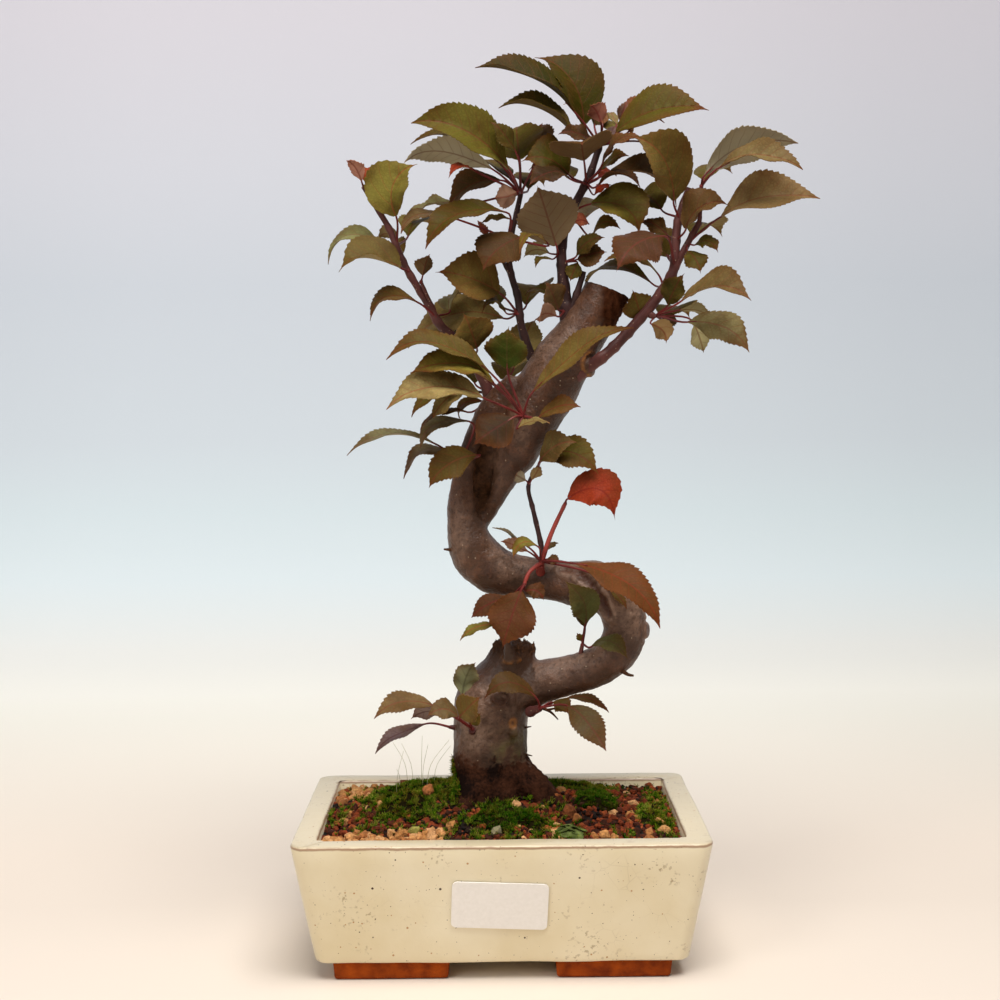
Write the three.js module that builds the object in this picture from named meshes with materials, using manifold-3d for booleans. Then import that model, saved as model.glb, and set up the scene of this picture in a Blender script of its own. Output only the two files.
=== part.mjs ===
// A small potted apple tree: a glazed tray pot on four feet with soil, moss and a
// bent old trunk that carries leafy shoots. Millimetres, +Z up, front towards -Y.
// Everything is built about the pot's centre on the ground; at the end the whole
// group is shifted so that the origin is the middle of its overall footprint.

import * as THREE from "three";
import { mergeVertices } from "three/examples/jsm/utils/BufferGeometryUtils.js";
import Module from "manifold-3d";

const wasm = await Module();
wasm.setup();

// Pot
const POT_WIDTH = 170;
const POT_DEPTH = 115;
const POT_HEIGHT = 59.4;
const POT_BASE_WIDTH = 153.3;
const POT_BASE_DEPTH = 91;
const POT_CORNER = 6;
const POT_RIM = 10;
const POT_FLOOR = 8;
const FOOT_HEIGHT = 7.4;
const FOOT_LENGTH = 48;
const FOOT_CENTRE_X = 45.5;
const FOOT_DEPTH = 13;
const DRAIN_X = 36;
const DRAIN_RADIUS = 8;

// Fillings
const GAP = 0.3;
const SLIVER = 0.2;
const SOIL_EDGE_BELOW_RIM = 3.5;
const MOUND_HEIGHT = 13;
const MESH_SIDE = 26;
const MESH_THICKNESS = 0.9;
const LABEL_WIDTH = 38.8;
const LABEL_HEIGHT = 20.7;
const LABEL_THICKNESS = 0.6;

// Leaves
const BLADE_THICKNESS = 0.7;
const PETIOLE_RADIUS = 0.5;
const CLEARANCE = 2.5;

// Small helpers for points

function add(a, b, k = 1) {
  return [a[0] + b[0] * k, a[1] + b[1] * k, a[2] + b[2] * k];
}
function sub(a, b) {
  return add(a, b, -1);
}
function dot(a, b) {
  return a[0] * b[0] + a[1] * b[1] + a[2] * b[2];
}
function cross(a, b) {
  return [a[1] * b[2] - a[2] * b[1], a[2] * b[0] - a[0] * b[2], a[0] * b[1] - a[1] * b[0]];
}
function length(a) {
  return Math.sqrt(dot(a, a));
}
function unit(a) {
  const l = length(a) || 1;
  return [a[0] / l, a[1] / l, a[2] / l];
}
function mixPoint(a, b, t) {
  return [a[0] + (b[0] - a[0]) * t, a[1] + (b[1] - a[1]) * t, a[2] + (b[2] - a[2]) * t];
}

// Solids are joined and cut as manifolds; a shape is a list of points and triangles.

function solid(points, faces) {
  const flat = new Float32Array(points.flat());
  const index = new Uint32Array(faces.flat());
  const geometry = new THREE.BufferGeometry();
  geometry.setAttribute("position", new THREE.BufferAttribute(flat, 3));
  geometry.setIndex(new THREE.BufferAttribute(index, 1));
  const merged = mergeVertices(geometry, 1e-5);
  const mesh = new wasm.Mesh({
    numProp: 3,
    vertProperties: new Float32Array(merged.attributes.position.array),
    triVerts: new Uint32Array(merged.index.array),
  });
  return new wasm.Manifold(mesh);
}

function joinAll(list) {
  let all = list[0];
  for (let i = 1; i < list.length; i += 1) {
    all = all.add(list[i]);
  }
  return all;
}

// The largest piece of a cut solid; loose crumbs and slivers are dropped.
function largest(body, sliver = SLIVER) {
  const pieces = body.simplify(sliver).decompose();
  pieces.sort((a, b) => b.volume() - a.volume());
  return pieces[0];
}

function part(name, body, material) {
  const mesh = body.getMesh();
  const corners = new Float32Array(mesh.vertProperties);
  const geometry = new THREE.BufferGeometry();
  geometry.setAttribute("position", new THREE.BufferAttribute(corners, 3));
  geometry.setIndex(new THREE.BufferAttribute(new Uint32Array(mesh.triVerts), 1));
  geometry.computeVertexNormals();
  const item = new THREE.Mesh(geometry, material);
  item.name = name;
  return item;
}

// A closed skin over rings of equal count, from the bottom ring to the top ring,
// each ring running anticlockwise seen from the top end. Flat ends close as a plain
// fan; uneven ends take a point in their middle.
function loft(rings, unevenEnds = false) {
  const n = rings[0].length;
  const points = rings.flat();
  const faces = [];
  for (let i = 0; i < rings.length - 1; i += 1) {
    for (let j = 0; j < n; j += 1) {
      const a = i * n + j;
      const b = i * n + ((j + 1) % n);
      faces.push([a, b, b + n], [a, b + n, a + n]);
    }
  }
  const top = (rings.length - 1) * n;
  if (!unevenEnds) {
    for (let j = 1; j < n - 1; j += 1) {
      faces.push([0, j + 1, j], [top, top + j, top + j + 1]);
    }
    return solid(points, faces);
  }
  const first = points.length;
  const mean = (ring) => ring.reduce((s, p) => add(s, p, 1 / n), [0, 0, 0]);
  points.push(mean(rings[0]), mean(rings[rings.length - 1]));
  for (let j = 0; j < n; j += 1) {
    const k = (j + 1) % n;
    faces.push([first, k, j], [first + 1, top + j, top + k]);
  }
  return solid(points, faces);
}

// A smooth line through points of [x, y, z, radius].
function smoothLine(knots, steps) {
  const out = [];
  for (let i = 0; i < knots.length - 1; i += 1) {
    const p0 = knots[Math.max(i - 1, 0)];
    const p1 = knots[i];
    const p2 = knots[i + 1];
    const p3 = knots[Math.min(i + 2, knots.length - 1)];
    for (let s = 0; s < steps; s += 1) {
      const t = s / steps;
      const q = [];
      for (let k = 0; k < 4; k += 1) {
        const a = 2 * p1[k];
        const b = p2[k] - p0[k];
        const c = 2 * p0[k] - 5 * p1[k] + 4 * p2[k] - p3[k];
        const d = -p0[k] + 3 * p1[k] - 3 * p2[k] + p3[k];
        q.push(0.5 * (a + b * t + c * t * t + d * t * t * t));
      }
      out.push(q);
    }
  }
  out.push(knots[knots.length - 1].slice());
  return out;
}

// A limb: a round tube along a line of [x, y, z, radius], with a slightly uneven skin.
function limb(line, sides, grow = 0, rough = 0) {
  const rings = [];
  let side = null;
  for (let i = 0; i < line.length; i += 1) {
    const before = line[Math.max(i - 1, 0)];
    const after = line[Math.min(i + 1, line.length - 1)];
    const along = unit(sub(after, before));
    if (side === null) {
      side = Math.abs(along[1]) < 0.9 ? [0, 1, 0] : [1, 0, 0];
    }
    side = unit(add(side, along, -dot(side, along)));
    const other = cross(along, side);
    const ring = [];
    for (let j = 0; j < sides; j += 1) {
      const angle = (2 * Math.PI * j) / sides;
      const bump = 1 + rough * (Math.sin(3 * angle + i * 0.9) + 0.7 * Math.sin(5 * angle - i * 1.7));
      const r = line[i][3] * bump + grow;
      let p = add(line[i], side, r * Math.cos(angle));
      p = add(p, other, r * Math.sin(angle));
      ring.push([p[0], p[1], p[2]]);
    }
    rings.push(ring);
  }
  return loft(rings);
}

// A bud: an eight-faced lump.
function bud(centre, r) {
  const points = [];
  for (const [x, y] of [[1, 0.2], [-0.2, 1], [-1, -0.2], [0.2, -1]]) {
    points.push([centre[0] + r * x, centre[1] + r * y, centre[2]]);
  }
  points.push([centre[0], centre[1], centre[2] - 1.2 * r], [centre[0], centre[1], centre[2] + 1.2 * r]);
  const faces = [];
  for (let j = 0; j < 4; j += 1) {
    const k = (j + 1) % 4;
    faces.push([4, k, j], [5, j, k]);
  }
  return solid(points, faces);
}

// A rounded lump, used for knots and scars.
function lump(centre, rx, ry, rz, grow = 0) {
  const points = [];
  const faces = [];
  const rows = 3;
  const n = 6;
  for (let i = 0; i < rows; i += 1) {
    const v = ((i + 1) / (rows + 1)) * Math.PI;
    for (let j = 0; j < n; j += 1) {
      const a = (2 * Math.PI * (j + 0.5 * (i % 2))) / n;
      points.push([
        centre[0] + (rx + grow) * Math.sin(v) * Math.cos(a),
        centre[1] + (ry + grow) * Math.sin(v) * Math.sin(a),
        centre[2] - (rz + grow) * Math.cos(v),
      ]);
    }
  }
  for (let i = 0; i < rows - 1; i += 1) {
    for (let j = 0; j < n; j += 1) {
      const a = i * n + j;
      const b = i * n + ((j + 1) % n);
      faces.push([a, b, b + n], [a, b + n, a + n]);
    }
  }
  const low = points.length;
  points.push([centre[0], centre[1], centre[2] - rz - grow]);
  points.push([centre[0], centre[1], centre[2] + rz + grow]);
  const top = (rows - 1) * n;
  for (let j = 0; j < n; j += 1) {
    const k = (j + 1) % n;
    faces.push([low, k, j], [low + 1, top + j, top + k]);
  }
  return solid(points, faces);
}

// Materials

const glaze = new THREE.MeshStandardMaterial({ color: 0xddcba4, roughness: 0.32 });
const earth = new THREE.MeshStandardMaterial({ color: 0x6e3319, roughness: 0.95 });
const mossGreen = new THREE.MeshStandardMaterial({ color: 0x4f7a1c, roughness: 1.0 });
const bark = new THREE.MeshStandardMaterial({ color: 0x6b564a, roughness: 0.9 });
const plasticMesh = new THREE.MeshStandardMaterial({ color: 0x2c3a2e, roughness: 0.6 });
const labelPaper = new THREE.MeshStandardMaterial({ color: 0xe9e6dc, roughness: 0.8 });
const foliage = new THREE.MeshStandardMaterial({ color: 0x5c5a22, roughness: 0.7 });

// Pot: a rounded rectangle seen from above, larger towards the rim.

function roundedRing(width, depth, corner, z, steps = 3) {
  const ring = [];
  const corners = [[1, 1, 0], [-1, 1, 1], [-1, -1, 2], [1, -1, 3]];
  for (const [sx, sy, quarter] of corners) {
    for (let i = 0; i <= steps; i += 1) {
      const a = (quarter + i / steps) * (Math.PI / 2);
      const cx = sx * (width / 2 - corner);
      const cy = sy * (depth / 2 - corner);
      ring.push([cx + corner * Math.cos(a), cy + corner * Math.sin(a), z]);
    }
  }
  return ring;
}

const bodyHeight = POT_HEIGHT - FOOT_HEIGHT;

function outerRing(z, inset = 0, steps = 3) {
  const t = (z - FOOT_HEIGHT) / bodyHeight;
  const width = POT_BASE_WIDTH + (POT_WIDTH - POT_BASE_WIDTH) * t - 2 * inset;
  const depth = POT_BASE_DEPTH + (POT_DEPTH - POT_BASE_DEPTH) * t - 2 * inset;
  return roundedRing(width, depth, Math.max(POT_CORNER - inset * 0.25, 2), z, steps);
}

const floorTop = FOOT_HEIGHT + POT_FLOOR;
const EDGE_ROUND = 4;
const potOuter = [];
for (let i = 0; i <= 2; i += 1) {
  const a = (i / 2) * (Math.PI / 2);
  const z = FOOT_HEIGHT + EDGE_ROUND * (1 - Math.cos(a));
  potOuter.push(outerRing(z, EDGE_ROUND * (1 - Math.sin(a))));
}
potOuter.push(outerRing(POT_HEIGHT - 0.8), outerRing(POT_HEIGHT, 0.6));
const potInner = [
  outerRing(floorTop, POT_RIM + 3),
  outerRing(floorTop + 4, POT_RIM),
  outerRing(POT_HEIGHT - 1, POT_RIM),
  outerRing(POT_HEIGHT + 0.2, POT_RIM - 1),
];
let pot = loft(potOuter).subtract(loft(potInner));

function foot(sx, sy) {
  const top = FOOT_HEIGHT + 2;
  const y = sy * (POT_BASE_DEPTH / 2 - FOOT_DEPTH / 2 - 1.5);
  const rings = [
    roundedRing(FOOT_LENGTH - 4.5, FOOT_DEPTH - 2, 2, 0, 1),
    roundedRing(FOOT_LENGTH - 3.5, FOOT_DEPTH - 1, 2, 1, 1),
    roundedRing(FOOT_LENGTH, FOOT_DEPTH, 2, top, 1),
  ];
  return loft(rings.map((ring) => ring.map((p) => [p[0] + sx * FOOT_CENTRE_X, p[1] + y, p[2]])));
}
for (const sx of [-1, 1]) {
  for (const sy of [-1, 1]) {
    pot = pot.add(foot(sx, sy));
  }
}
for (const sx of [-1, 1]) {
  const hole = [
    [sx * DRAIN_X, 0, FOOT_HEIGHT - 1, DRAIN_RADIUS],
    [sx * DRAIN_X, 0, floorTop + 1, DRAIN_RADIUS],
  ];
  pot = pot.subtract(limb(hole, 12));
}

// Blank paper label stuck on the sloping front face.
const slope = Math.atan2((POT_DEPTH - POT_BASE_DEPTH) / 2, bodyHeight);
function makeLabel() {
  const middleX = -1;
  const middleZ = 33.6;
  const faceY = -POT_BASE_DEPTH / 2 - (middleZ - FOOT_HEIGHT) * Math.tan(slope);
  const turn = (-2.4 * Math.PI) / 180;
  const place = ([x, y, z]) => {
    const u = x * Math.cos(turn) - y * Math.sin(turn);
    const v = x * Math.sin(turn) + y * Math.cos(turn);
    return [
      middleX + u,
      faceY - v * Math.sin(slope) - z * Math.cos(slope),
      middleZ + v * Math.cos(slope) - z * Math.sin(slope),
    ];
  };
  const back = roundedRing(LABEL_WIDTH, LABEL_HEIGHT, 2, GAP, 3).map(place);
  const front = roundedRing(LABEL_WIDTH, LABEL_HEIGHT, 2, GAP + LABEL_THICKNESS, 3).map(place);
  return loft([back, front]);
}

// Soil: fills the pot, rises to a mound around the trunk and is grainy on top.

function soilHeight(x, y) {
  const mound = MOUND_HEIGHT * Math.exp(-((x + 8) ** 2) / 3200 - (y * y) / 1100);
  const grain = 0.7 * Math.sin(x * 0.41 + 1.3 * Math.sin(y * 0.37)) * Math.cos(y * 0.53 + x * 0.11);
  return POT_HEIGHT - SOIL_EDGE_BELOW_RIM + mound + grain;
}

function makeSoil() {
  const outline = (z, inset) => outerRing(z, inset, 5);
  const wallTop = POT_HEIGHT - SOIL_EDGE_BELOW_RIM - 2;
  const wallInset = POT_RIM + GAP + 0.1;
  const rings = [
    outline(floorTop + GAP, POT_RIM + 3 + GAP),
    outline(floorTop + 4 + GAP, wallInset),
    outline(wallTop, wallInset),
  ];
  const rows = 4;
  for (let i = 0; i < rows; i += 1) {
    const k = 1 - i / rows;
    rings.push(outline(wallTop, wallInset + 0.2).map(([x, y]) => {
      const px = x * (0.12 + 0.88 * k);
      const py = y * (0.12 + 0.88 * k);
      return [px, py, soilHeight(px, py)];
    }));
  }
  return loft(rings, true);
}

// Moss: low cushions that follow the soil.
function mossCushion(cx, cy, rx, ry, high, seed) {
  const n = 10;
  const layers = [
    [1, -2],
    [1.02, 0.25],
    [0.78, 0.8],
    [0.36, 1],
  ];
  const rings = layers.map(([k, level], row) => {
    const ring = [];
    for (let j = 0; j < n; j += 1) {
      const a = (2 * Math.PI * j) / n;
      const edge = 1 + 0.16 * Math.sin(3 * a + seed) + 0.1 * Math.sin(5 * a + 2 * seed);
      const x = cx + rx * k * edge * Math.cos(a);
      const y = cy + ry * k * edge * Math.sin(a);
      const bump = level > 0 ? 0.5 * Math.sin(4 * a + row * 2.1 + seed) : 0;
      const lift = level < 0 ? level : level * high;
      ring.push([x, y, soilHeight(x, y) + lift + bump]);
    }
    return ring;
  });
  return loft(rings, true);
}

const CORNERS = [[1, 1], [-1, 1], [-1, -1], [1, -1]];

// Drainage mesh over a hole in the pot's floor.
function makeDrainMesh(x) {
  const z0 = floorTop + GAP;
  let plate = loft([
    roundedRing(MESH_SIDE, MESH_SIDE, 1, z0, 1),
    roundedRing(MESH_SIDE, MESH_SIDE, 1, z0 + MESH_THICKNESS, 1),
  ]);
  const pitch = 5.4;
  const bore = 4.2;
  for (const [i, j] of CORNERS) {
    const rings = [z0 - 1, z0 + MESH_THICKNESS + 1].map((z) =>
      CORNERS.map(([a, b]) => [i * pitch + a * bore, j * pitch + b * bore, z]));
    plate = plate.subtract(loft(rings));
  }
  return plate.translate([x, 0, 0]);
}

// Trunk: a thick base with a broken stub, then one limb that leaves to the right,
// arcs over, comes back across and rises to the left; above the dead-wood cleft it
// leans right and ends in a slanting cut.

const TRUNK = {
  base: [
    [-4, 0, 48, 17], [-4.5, 0, 57, 18.5], [-4.6, 0, 66, 17.4], [-4.6, 0, 76, 16.3], [-4.5, 0, 88, 15.9],
    [-4.1, 0, 98, 16.1], [-2.6, 0, 107, 16.2], [1.8, 1, 115, 13], [5.2, 2, 123, 10.6], [6.4, 2, 131.5, 8.4],
  ],
  loop: [
    [4, 0, 109, 12], [16, -1, 114, 9.6], [30, -3, 117.6, 8.4], [41, -5, 121.3, 8.5],
    [48.6, -7, 127, 8.7], [52.6, -8, 135, 9], [53, -9, 143, 9.5], [49.5, -8.5, 151.5, 10],
    [42, -6, 156.6, 10.2], [33, -2, 156.9, 9.8], [23, 1, 158, 8.8], [12, 2, 159.6, 8.9],
    [1.5, 2, 161.3, 10], [-7, 1, 166.4, 10.6], [-12.3, 0, 174, 9.8], [-14, 0, 183, 8.2],
    [-14.6, 0, 191, 7.2], [-14.6, 0, 199, 6.3], [-12.8, 0, 208, 5.4], [-9.6, 0, 217, 5.4],
    [-4.6, 0, 227, 6.4], [1.5, 0, 236, 6.2], [5.4, -1, 241, 5.2], [7.6, -1, 245.3, 3.8],
  ],
  crown: [
    [-12, 3, 182, 6], [-6.5, 2.5, 189.5, 6], [-2.2, 2, 196, 5.8], [2.6, 1, 204, 6.6],
    [7, 0, 212, 9.2], [10, 0, 220, 11.2], [14.6, 0, 230, 12.8], [20.6, 0, 240, 13],
    [26.4, 0, 250, 12.6], [31.8, 0, 258, 11.4], [36.6, 0, 265, 10.6], [41.6, 0, 273, 10.3],
    [49.5, 0, 286, 9.8],
  ],
  heart: [[-9, 5, 192, 5], [-7.6, 6, 204, 6], [-5, 6, 216, 7.4], [0, 4, 228, 8]],
};
const ROOTS = [
  [[2, -2, 76, 11], [13, -4, 68.5, 8.4], [21, -7, 62.5, 5.8], [29, -9, 56.5, 4.2], [35, -10, 50, 3]],
  [[-8, -5, 74, 10.5], [-14, -12, 65, 7.6], [-20, -18, 57.5, 5], [-25, -22, 51, 3.6]],
  [[-6, 6, 74, 10.5], [-12, 14, 65.5, 7.2], [-19, 21, 57.5, 5], [-24, 26, 50, 3.6]],
  [[2, 6, 73, 10], [9, 14, 64.5, 6.6], [15, 22, 56.5, 4.6], [19, 27, 50, 3.4]],
];

function makeTrunk(grow) {
  const rough = 0.022;
  const pieces = [
    limb(smoothLine(TRUNK.base, 1), 12, grow, rough),
    limb(smoothLine(TRUNK.loop, 1), 10, grow, rough),
    limb(smoothLine(TRUNK.crown, 1), 10, grow, rough),
    limb(smoothLine(TRUNK.heart, 1), 8, grow, rough),
  ];
  for (const root of ROOTS) {
    pieces.push(limb(smoothLine(root, 1), 6, grow, rough));
  }
  // Knots and healed scars on the front
  pieces.push(lump([-1, -14.2, 110], 4.6, 3.4, 4.6, grow));
  pieces.push(lump([5.8, -14.4, 96], 2.4, 2, 3, grow));
  pieces.push(lump([60.5, -9, 138], 3.4, 4, 3.6, grow));
  pieces.push(lump([4.6, -7.4, 126], 4.4, 4, 3.2, grow));
  pieces.push(lump([37.6, -6, 249.5], 4.2, 4.6, 4.6, grow));
  let trunk = joinAll(pieces);
  // Slanting saw cut at the top
  const n = unit([0.36, 0, 0.93]);
  trunk = trunk.trimByPlane([-n[0], -n[1], -n[2]], -(dot(n, [47.5, 0, 281.8]) + grow));
  return trunk;
}

// Leaves
// A leaf is [base x, y, z, tip x, y, z, width, bow, turn, fold, tint]. Bow lifts the
// middle of the midrib. Turn is the way the upper face looks: 0 to the front, 90 up,
// 180 to the back. Fold raises both halves about the midrib.

const UP = unit([-0.2, 0, 1]);
const FRONT = [0, -1, 0];

function leafFrame(row) {
  const base = row.slice(0, 3);
  const tip = row.slice(3, 6);
  const chord = sub(tip, base);
  const span = length(chord);
  const t = unit(chord);
  const square = (a) => unit(add(a, t, -dot(a, t)));
  let side = square(FRONT);
  let up = square(add(UP, side, -dot(UP, side)));
  if (Math.abs(t[1]) > 0.8) {
    up = square(UP);
    side = cross(up, t);
    if (side[1] > 0) {
      side = [-side[0], -side[1], -side[2]];
    }
  }
  const turn = (row[8] * Math.PI) / 180;
  const face = unit(add(add([0, 0, 0], side, Math.cos(turn)), up, Math.sin(turn)));
  const fold = (row[9] * Math.PI) / 180;
  return { base, chord, span, t, up, face, fold, width: row[6], bow: row[7] };
}

// A point of the blade: u runs from base to tip, v across from -1 to 1.
function bladePoint(f, u, v, lift = 0) {
  const arch = 4 * u * (1 - u);
  let p = add(f.base, f.chord, u);
  p = add(p, f.up, f.bow * arch);
  p = add(p, f.face, 0.05 * f.span * arch);
  const slopeUp = (4 * (1 - 2 * u)) / f.span;
  let along = add(f.t, f.up, f.bow * slopeUp);
  along = unit(add(along, f.face, 0.05 * f.span * slopeUp));
  const across = unit(cross(f.face, along));
  const normal = unit(cross(along, across));
  const half = (f.width / 2) * Math.pow(Math.sin(Math.PI * Math.pow(u, 0.86)), 0.8);
  p = add(p, across, half * v * Math.cos(f.fold));
  p = add(p, normal, half * Math.abs(v) * Math.sin(f.fold) + lift);
  return p;
}

// The stalk runs from the bud to the blade's base as a bent line of [x, y, z, radius].
function petioleLine(bud, f) {
  const reach = length(sub(f.base, bud));
  const lead = unit(sub(bladePoint(f, 0.1, 0), f.base));
  const c1 = add(mixPoint(bud, f.base, 0.35), [0, 0, 1], reach * 0.04);
  const c2 = add(f.base, lead, -reach * 0.3);
  const line = [];
  let steps = 1;
  if (reach > 7) {
    steps = reach > 16 ? 3 : 2;
  }
  for (let i = 0; i <= steps; i += 1) {
    const t = i / steps;
    const w = [(1 - t) ** 3, 3 * t * (1 - t) ** 2, 3 * t * t * (1 - t), t ** 3];
    let p = [0, 0, 0];
    [bud, c1, c2, f.base].forEach((q, k) => {
      p = add(p, q, w[k]);
    });
    line.push([p[0], p[1], p[2], i === steps ? BLADE_THICKNESS / 2 : PETIOLE_RADIUS]);
  }
  return line;
}

// A leaf is one closed body: a square stalk that opens into the blade. The blade's two
// faces are split into the same triangles, so it is equally thick all over.
function makeLeaf(bud, f) {
  let cells = 3;
  if (f.span > 18) {
    cells = f.span > 26 ? 5 : 4;
  }
  const ribs = f.span > 26 ? 2 : 1;
  const points = [];
  const faces = [];
  const put = (p) => points.push(p) - 1;
  const half = BLADE_THICKNESS / 2;

  // Stalk: rings of four corners, upper left, upper right, lower left, lower right
  const line = petioleLine(bud, f);
  const lead = unit(sub(bladePoint(f, 0.06, 0), f.base));
  const across0 = unit(cross(f.face, lead));
  const rings = line.map((p, i) => {
    const after = line[Math.min(i + 1, line.length - 1)];
    const before = line[Math.max(i - 1, 0)];
    const along = i === line.length - 1 ? lead : unit(sub(after, before));
    const normal = unit(cross(along, across0));
    const across = unit(cross(normal, along));
    const r = p[3];
    const corners = [[1, 1], [-1, 1], [1, -1], [-1, -1]];
    return corners.map(([a, n]) => put(add(add(p, across, a * r), normal, n * r)));
  });
  faces.push([rings[0][0], rings[0][2], rings[0][3]], [rings[0][0], rings[0][3], rings[0][1]]);
  for (let k = 0; k < rings.length - 1; k += 1) {
    const [tl, tr, bl, br] = rings[k];
    const [ul, ur, dl, dr] = rings[k + 1];
    faces.push([tl, ul, dl], [tl, dl, bl], [tr, dr, ur], [tr, br, dr]);
    faces.push([tr, ur, ul], [tr, ul, tl], [br, dl, dr], [br, bl, dl]);
  }

  // Blade: midrib points and two rims on each face, all meeting in the tip
  const base = rings[rings.length - 1];
  const middle = [];
  for (let i = 1; i <= ribs + 1; i += 1) {
    middle.push(i / (ribs + 1));
  }
  const edge = [];
  for (let i = 0; i <= cells; i += 1) {
    edge.push(i / cells);
  }
  const mids = [];
  const rims = [];
  for (let s = 0; s < 2; s += 1) {
    const lift = s === 0 ? half : -half;
    const mid = middle.map((u) => put(bladePoint(f, u, 0, lift)));
    mids.push(mid);
    rims.push([1, -1].map((sign, k) => {
      const rim = [base[2 * s + k]];
      for (let i = 1; i < cells; i += 1) {
        const tooth = i % 2 === 0 ? 1.06 : 0.93;
        rim.push(put(bladePoint(f, edge[i], sign * tooth, lift)));
      }
      rim.push(mid[mid.length - 1]);
      return rim;
    }));
  }
  faces.push([base[1], mids[0][0], base[0]], [base[3], base[2], mids[1][0]]);
  for (let s = 0; s < 2; s += 1) {
    for (let k = 0; k < 2; k += 1) {
      const flip = (k === 1) !== (s === 1);
      const push = (a, b, c) => faces.push(flip ? [a, c, b] : [a, b, c]);
      const mid = mids[s];
      const rim = rims[s][k];
      let i = 0;
      let j = 0;
      while (i < mid.length - 1 || j < cells) {
        if (i < mid.length - 1 && (j === cells || middle[i + 1] < edge[j + 1])) {
          push(mid[i], mid[i + 1], rim[j]);
          i += 1;
        } else {
          if (mid[i] !== rim[j + 1]) {
            push(mid[i], rim[j + 1], rim[j]);
          }
          j += 1;
        }
      }
    }
  }
  for (let k = 0; k < 2; k += 1) {
    const [top, low] = [rims[0][k], rims[1][k]];
    const push = (a, b, c) => faces.push(k === 1 ? [a, c, b] : [a, b, c]);
    for (let j = 0; j < cells; j += 1) {
      push(top[j], top[j + 1], low[j + 1]);
      push(top[j], low[j + 1], low[j]);
    }
  }
  return solid(points, faces);
}

// Shoots. Twigs are lines of [x, y, z, radius]; each cluster of leaves springs from a
// bud on a twig or on the bark.

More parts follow.
